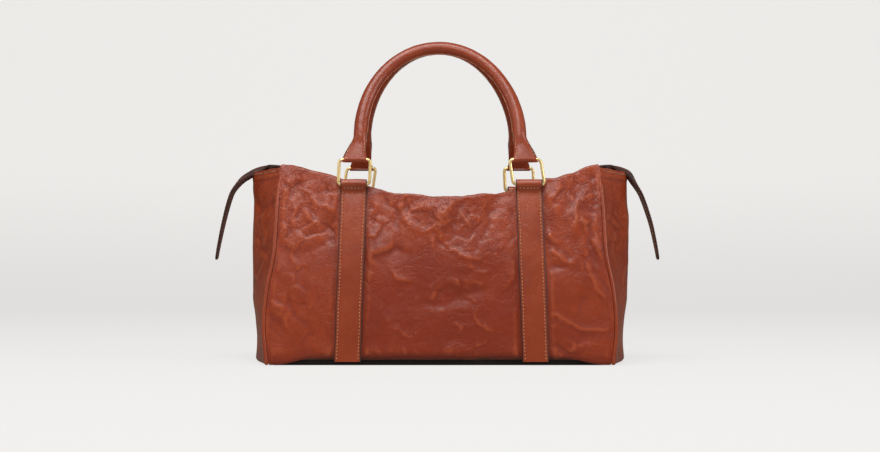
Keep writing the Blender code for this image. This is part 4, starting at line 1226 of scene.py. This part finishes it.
def paint_edges(piece):
    """The outermost faces of the flange and of the tabs are its painted cut edge; beside it, on the arch, runs a pale
    line of painted highlight.
    """
    for polygon in piece.data.polygons:
        x, z = abs(polygon.center.x), polygon.center.z
        if z < SPRING:
            a, half = mix(HALF_SPAN, TAB_X, ease((SPRING - z) / (SPRING - BAR_Z))) - x, tab_half(z)
            a = abs(a) if tab_share(z) > 0.3 else a
        else:
            reach = math.hypot(x / HALF_SPAN, (z - SPRING) / RISE)
            slope = math.hypot(x / HALF_SPAN**2, (z - SPRING) / RISE**2) / reach
            a, half = (1 - reach) / slope, FLANGE_HALF
        half *= fullness(z) if z > TAB_TOP else 1.0
        # Painted highlight: a pale line beside the flange's painted edge, on the arch.
        pale = a > half - PALE_LINE and z > 0.25
        polygon.material_index = 1 if a > half - PAINTED else 2 if pale else 0


def handle(name, half_turn, seed):
    loops = [handle_loop(-1.0, seed, head) for head in HEADS]
    loops += [handle_loop(run, seed) for run in np.linspace(-1.0, 1.0, 241)]
    loops += [handle_loop(1.0, seed, head) for head in reversed(HEADS)]
    piece = rolled(name, loops)
    paint(piece, roll_hide, edge_paint, raw_edge)
    paint_edges(piece)
    piece.data.transform(HALF_TURN[half_turn])
    for vertex in piece.data.vertices:
        crown = ease((vertex.co.z - SPRING) / 0.08)
        leg = ease((vertex.co.z - 0.245) / 0.03) * (1 - crown) * (vertex.co.x / HALF_SPAN)
        vertex.co.x += half_turn * BACK_WIDER * leg - SWAY * crown
        vertex.co.z += half_turn * BACK_HIGHER * max(vertex.co.z - SPRING, 0.0) / RISE
    plain = name.removeprefix("rolled_")
    nodes = [plain + part for part in ("_cover", "_left_tab", "_right_tab")]
    dress(smooth(piece, 45), plain, "smooth_leather", nodes=nodes)


def handle_seams(seed):
    """The seams down both edges of the tabs."""
    def line(runs, edge):
        places = []
        for run in runs:
            z = arch_frame(run)[0].z
            a = edge * (tab_half(z) - 0.0012 - 0.0012 * ease((TAB_TOP - z) / 0.02))
            thick = 0.00145 * fullness(z)
            if z < TAB_TOP:
                share = tab_share(z)
                thin, power = tab_thickness(share)
                thin *= (1 - min(abs(a) / tab_half(z), 0.999) ** power) ** (1 / power)
                thick = mix(thin, thick, 1 - ease(share / 0.5)) if edge < 0 else thin
            places.append((handle_point(run, a, thick, seed), OUT_OF_PLANE))
        return seam(places)

    places = []
    for side in (-1, 1):
        places += line(np.linspace(0.875, 0.995, 20) * side, -1.0)
        places += line(np.linspace(0.945, 0.995, 10) * side, 1.0)
    return places


for name, half_turn, seed in (("front_handle", False, 2.0), ("back_handle", True, 8.0)):
    handle("rolled_" + name, half_turn, seed)
    sewn("stitches_of_" + name, name, [HALF_TURN[half_turn] @ place for place in handle_seams(seed)])
print("2 handles, each a roll of", round(2000 * ROLL, 1), "mm with a flange")

# %% [markdown]
# ## The lining
#
# The lining is a cloth bag sewn in at the top edge. It hangs a few millimetres inside the leather, so it is seen
# only when the zip opens. It is five plain sheets with soft waves.

# %% Lining
LINING_IN, LINING_LOW, LINING_HIGH, LINING_WAVE, LINING_HALF = 0.0056, 0.0068, 0.1795, 0.0006, 0.93


def lining_sheet(name, columns, rows, surface):
    piece = edit(lay(name, columns, rows, surface), weld)
    apply(piece, "SOLIDIFY", thickness=0.0006, offset=0.0)
    dress(smooth(piece, 60), "bag_body", "lining_cloth", lining_cloth)


def lining_wall(side_y):
    def surface(u, v):
        z = mix(LINING_LOW, LINING_HIGH, v)
        x = (2 * u - 1) * (seam_x(z) - 0.008)
        wave = LINING_WAVE * abs(rough(x * 30, z * 18, side_y * 3.0))
        return Vector((x * -side_y, side_y * (depth_at(z) - LINING_IN - wave), z))
    return surface


def lining_end(side_x):
    def surface(u, v):
        z = mix(LINING_LOW, LINING_HIGH, v)
        place = gusset_point((2 * u - 1) * LINING_HALF, z)
        wave = LINING_WAVE * abs(rough(place.y * 30, z * 18, side_x * 9.0))
        return Vector((side_x * (place.x - LINING_IN - wave), side_x * place.y, z))
    return surface


def lining_floor(u, v):
    across = 2 * v - 1
    edge = gusset_point(across * LINING_HALF, LINING_LOW).x - 0.009
    return Vector(((2 * u - 1) * edge, across * (depth_at(LINING_LOW) - LINING_IN), LINING_LOW - 0.0003))


for side, depthwise, sidewise in ((-1, "front", "left"), (1, "back", "right")):
    lining_sheet(f"cloth_{depthwise}_lining", 60, 30, lining_wall(side))
    lining_sheet(f"cloth_{sidewise}_lining", 30, 30, lining_end(side))
lining_sheet("cloth_base_lining", 60, 24, lining_floor)
print("5 lining sheets")

# %% [markdown]
# ## The zip's leather and tape
#
# The zip is recessed: a leather facing runs along each side of it, sewn to the lining's top, and the zip's woven
# tape is sewn under the facing's inner edge. Past the mouth both facings narrow, rise, and run out over the side of
# the bag.

# %% Zip facings and tapes
MOUTH, ZIP_HEIGHT, ZIP_END, ZIP_END_HALF, RISE_START, FREE_START = 0.100, 0.1862, 0.198, 0.012, 0.138, 0.150
FACING, FACING_NEAR, TAPE, TAPE_NEAR, TAPE_FAR, TAPE_DROP = 0.0018, 0.007, 0.0006, 0.0033, 0.0148, 0.0015
HINGE_X, HINGE_Z, DARK_START, STIFF_END, BENT_END = 0.219, 0.2232, 0.172, 0.078, 0.030
TAB_START, CREST_X, CREST_LIFT, START_DROP, TAIL_THICK = 0.182, 0.199, 0.0047, 0.0014, 0.0032


def tab_height(x):
    if x < CREST_X:
        return HINGE_Z + CREST_LIFT - START_DROP * ((CREST_X - x) / (CREST_X - TAB_START)) ** 2
    return HINGE_Z + CREST_LIFT * (1 - ((x - CREST_X) / (HINGE_X - CREST_X)) ** 2)


def zip_z(x):
    top = tab_height(ZIP_END) - (TAIL_THICK + FACING) / 2 - GAP
    return mix(ZIP_HEIGHT, top, ease((abs(x) - RISE_START) / (ZIP_END - RISE_START)))


def facing_far(x):
    wall, free = (depth_at(zip_z(at)) - LEATHER - GAP for at in (x, FREE_START))
    return min(wall, mix(free, ZIP_END_HALF, ease((abs(x) - FREE_START) / (ZIP_END - FREE_START))))


def zip_strip(name, span, side_y, near, far, drop, thickness, columns, rows):
    """A strip of the zip between two distances from its middle, over a span of x, following the zip's rise."""
    def surface(u, v):
        x = mix(*span, u)
        y = mix(near, far(x), v)
        wave = 0.00022 * rough(x * 55, y * 70, 4.0 + side_y)
        ridge = 0.00025 * math.exp(-(((y - near - 0.002) / 0.0005) ** 2)) if thickness == FACING else 0.0
        return Vector((x, side_y * y, zip_z(x) - drop + thickness / 2 + wave - ridge))

    piece = edit(lay(name, columns, rows, surface), outwards)
    if sum(polygon.normal.z for polygon in piece.data.polygons) < 0:
        edit(piece, bpy.ops.mesh.flip_normals)
    apply(piece, "SOLIDIFY", thickness=thickness, offset=-1, use_even_offset=True)
    return smooth(piece, 50)


def bend_mouth(piece, half, depthwise, side_y):
    """Bakes a mouth strip's place into its mesh."""
    start, end = ((half * x, side_y * 0.02, ZIP_HEIGHT) for x in (STIFF_END, BENT_END))
    depthwise + "_zip_flap"
    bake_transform(piece)
    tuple(start)
    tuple(end)


def zip_strips(kind, material, slot, *shape):
    for half, side_y, sidewise, depthwise in CORNERS:
        node = f"{depthwise}_flap_{kind}"
        piece = zip_strip(f"zip_{sidewise}_{node}", sorted((0.0, half * MOUTH)), side_y, *shape[:-1], 50, shape[-1])
        dress(piece, None, slot, material, nodes=[node])
        bend_mouth(piece, half, depthwise, side_y)
        span = sorted((half * (MOUTH + 0.00002), half * ZIP_END))
        piece = zip_strip(f"zip_{sidewise}_end_{depthwise}_{kind}", span, side_y, *shape[:-1], 60, shape[-1])
        dress(piece, "bag_body", slot, material, dark_hide)
        for polygon in piece.data.polygons:
            polygon.material_index = int(abs(polygon.center.x) > DARK_START)


zip_strips("facing", strap_hide, "smooth_leather", FACING_NEAR, facing_far, 0.0, FACING, 24)
zip_strips("tape", tape_cloth, "zip_tape", TAPE_NEAR, lambda x: TAPE_FAR, TAPE_DROP, TAPE, 6)
print("zip facings and tapes along", round(2000 * ZIP_END), "mm")

# %% [markdown]
# ## The zip's teeth
#
# One tooth is a small brass block with broken edges that reaches over the middle. It is modelled once and copied
# along both edges, half a pitch apart, so that the two rows mesh.

# %% Teeth
bpy.ops.mesh.primitive_cube_add(size=1.0)
tooth = bpy.context.object
tooth.name = "one_tooth"
tooth.data.transform(Matrix.Diagonal((0.00105, 0.0042, 0.0024, 1.0)))
edit(tooth, lambda: bpy.ops.mesh.bevel(offset=0.0003, segments=1, affect="EDGES"))
TOOTH_PITCH, TOOTH_OFF_MIDDLE, TOOTH_MARGIN = 0.0026, 0.0011, 0.0006


def teeth(name, ends, side_y):
    """A row of teeth over a span of x: each sits on the zip's rise, a little off its middle."""
    low, high = sorted(ends)
    places = []
    x = math.ceil((low + TOOTH_MARGIN) / TOOTH_PITCH) * TOOTH_PITCH + TOOTH_PITCH / 4 * side_y
    while x < high - TOOTH_MARGIN:
        rise = Vector((0.002, 0.0, zip_z(x + 0.001) - zip_z(x - 0.001))).normalized()
        across = Vector((0, 1, 0))
        turn = Matrix((rise, across, rise.cross(across))).transposed().to_4x4()
        places.append(Matrix.Translation((x, side_y * TOOTH_OFF_MIDDLE, zip_z(x) - TAPE_DROP)) @ turn)
        x += TOOTH_PITCH
    return copies(name, tooth, places)


for half, side_y, sidewise, depthwise in CORNERS:
    piece = teeth(f"zip_{sidewise}_{depthwise}_flap_teeth", (0.0, half * MOUTH), side_y)
    dress(piece, None, "gold_metal", brass, nodes=[f"{depthwise}_flap_teeth"])
    bend_mouth(piece, half, depthwise, side_y)
    piece = teeth(f"zip_{sidewise}_end_{depthwise}_teeth", (half * MOUTH, half * ZIP_END), side_y)
    dress(piece, "bag_body", "gold_metal", brass, nodes=[f"{sidewise}_end_teeth"])
print("zip teeth every", TOOTH_PITCH * 1000, "mm")

# %% [markdown]
# ## The slider and its puller
#
# The slider is a cast brass saddle over the teeth, with a small arch that holds the puller. Both come from the CAD
# model, where their working faces were measured, and only their edges are broken with a fine bevel, as tumbling
# leaves them.

# %% Slider and puller
for plain in ("zip_slider", "zip_puller"):
    source = bpy.data.objects[plain]
    piece = source.copy()
    piece.data = source.data.copy()
    bpy.context.collection.objects.link(piece)
    piece.name = piece.data.name = "brass_" + plain
    take(piece)
    bpy.ops.object.parent_clear(type="CLEAR_KEEP_TRANSFORM")
    bpy.ops.object.transform_apply(location=True, rotation=True, scale=True)
    piece.data.materials.clear()
    edit(piece, weld, outwards)
    apply(piece, "BEVEL", width=0.00022, segments=2, limit_method="ANGLE", angle_limit=math.radians(35))
    dress(smooth(piece, 40), plain, "gold_metal", brass)
print("slider and puller bevelled")

# %% [markdown]
# ## The zip's hanging ends
#
# At each end the zip is sewn between two layers of dark leather, which lie over the gusset's hem and hang down
# outside. One band is laid along its whole way, over the hem without a break. Its outer layer is dark, its cut edge
# is painted, and its inner layer is paler.

# %% Tails
TAIL_HALF, TAIL_TIP_HALF, TAIL_TIP_THICK, TAIL_DROP, TAIL_CORNER = 0.010, 0.006, 0.0022, 0.1045, 0.0006
TAIL_SEAM_IN, TAIL_PITCH, TAB_ROWS, TAIL_ROWS, TAIL_SEWN = 0.0022, 0.0042, 26, 80, slice(38, -4)
LEFT_TAIL = (0.0434, ((0.0, 0.0), (0.022, 0.092), (0.047, 0.194), (0.089, 0.323), (0.153, 0.447), (0.235, 0.56),
                      (0.325, 0.641), (0.44, 0.721), (0.61, 0.82), (0.785, 0.908), (0.9, 0.961), (1.0, 1.0)))
RIGHT_TAIL = (0.0370, ((0.0, 0.0), (0.02, 0.086), (0.052, 0.157), (0.105, 0.232), (0.172, 0.324), (0.244, 0.422),
                       (0.33, 0.524), (0.44, 0.635), (0.61, 0.781), (0.785, 0.892), (0.9, 0.954), (1.0, 1.0)))


def tail_frames(side_x, reach, knots):
    """Along a tail, from the start of its tab to its tip: the place, the way out, half the width, the thickness
    and how deeply the band is cupped."""
    run = [(x, tab_height(x), 0.0) for x in np.linspace(TAB_START - 0.004, HINGE_X - 0.0012, TAB_ROWS)]
    for down in np.linspace(0.0, 1.0, TAIL_ROWS) ** 1.35:
        run.append((HINGE_X + reach * curve_through(down, knots), HINGE_Z - TAIL_DROP * down, down))
    frames = []
    for i, (x, z, down) in enumerate(run):
        (x1, z1, _), (x2, z2, _) = run[max(i - 2, 0)], run[min(i + 2, len(run) - 1)]
        along = Vector((side_x * (x2 - x1), 0.0, z2 - z1)).normalized()
        out = Vector((-along.z * side_x, 0.0, along.x * side_x))
        tip = math.sqrt(max(1 - max((down - 0.965) / 0.035, 0.0) ** 2, 0.03))
        half = mix(TAIL_HALF, TAIL_TIP_HALF, down**2) * tip
        past_hem = ease(max(HINGE_Z - z, 0.0) / 0.03)
        cup = mix(0.0046 * ease((x - 0.1985) / 0.012), 0.0005, past_hem) * half / TAIL_HALF
        frames.append((Vector((side_x * x, 0.0, z)), out, half, mix(TAIL_THICK, TAIL_TIP_THICK, down), cup))
    return frames


def tail_section(half, rise):
    """The band's section, with rounded corners."""
    near, round_by = TAIL_CORNER, TAIL_CORNER * 0.3
    side = [(half - near, rise), (half - round_by, rise - round_by), (half, rise - near), (half, 0.0)]
    side += [(half, near - rise), (half - round_by, round_by - rise), (half - near, -rise)]
    flat = [share * (half - 0.002) for share in np.linspace(-1, 1, 9)]
    top, under = [(a, rise - 0.0001) for a in flat], [(-a, 0.0001 - rise) for a in flat]
    return top + side + under + [(-a, b) for a, b in reversed(side)]


def bend_tail(piece):
    """Bakes the tail's place into its mesh."""
    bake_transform(piece)


def tail(side_x, sidewise, shape):
    frames = tail_frames(side_x, *shape)
    loops = []
    for place, out, half, thick, cup in frames:
        section = tail_section(half, thick / 2)
        loops.append([place + Vector((0, a, 0)) + out * (b - cup * (a / half) ** 2) for a, b in section])
    piece = rolled(f"dark_{sidewise}_zip_tail", loops)
    paint(piece, dark_hide, edge_paint, tail_lining)
    for polygon in piece.data.polygons:
        x, z = polygon.center.x, polygon.center.z
        nearest = min(frames, key=lambda frame: (frame[0].x - x) ** 2 + (frame[0].z - z) ** 2)
        facing = polygon.normal.dot(nearest[1])
        polygon.material_index = 0 if facing > 0.8 else 2 if facing < -0.8 else 1
    nodes = [f"{sidewise}_zip_tail", f"{sidewise}_zip_tab"]
    bend_tail(dress(smooth(piece, 35), None, "dark_leather", nodes=nodes))

    places = []
    for edge in (-1, 1):
        for face in (-1, 1):
            line = []
            for place, out, half, thick, cup in frames[TAIL_SEWN]:
                sunk = cup * (1 - TAIL_SEAM_IN / half) ** 2
                aside = Vector((0, edge * (half - TAIL_SEAM_IN), 0))
                line.append((place + aside + out * (face * (thick / 2 - 0.0001) - sunk), out * face))
            places += seam(line, TAIL_PITCH)
    for piece in sewn(f"stitches_of_{sidewise}_zip_tail", None, places, TAIL_PITCH):
        bend_tail(piece)


tail(-1, "left", LEFT_TAIL)
tail(1, "right", RIGHT_TAIL)
print("2 tails of", round(2000 * TAIL_HALF), "mm")

# %% [markdown]
# ## What stays from the CAD model
#
# The stiffener board and the cotton cords inside the handles are simple solids and fully hidden. They stay as they
# are and take their finishes.

# %% Finishes of the hidden pieces
for plain, material in (("base_board", board), ("front_handle_core", cotton_cord), ("back_handle_core", cotton_cord)):
    kept = bpy.data.objects[plain]
    kept.data.materials.clear()
    paint(kept, material)
print("3 CAD pieces keep their shape")

# %% [markdown]
# ## Removing the masters
#
# The one stitch, the one spot of hole shade and the one tooth were only copied, and are removed.

# %% Remove the masters
for master in (stitch, hole_shade, tooth):
    bpy.data.objects.remove(master)
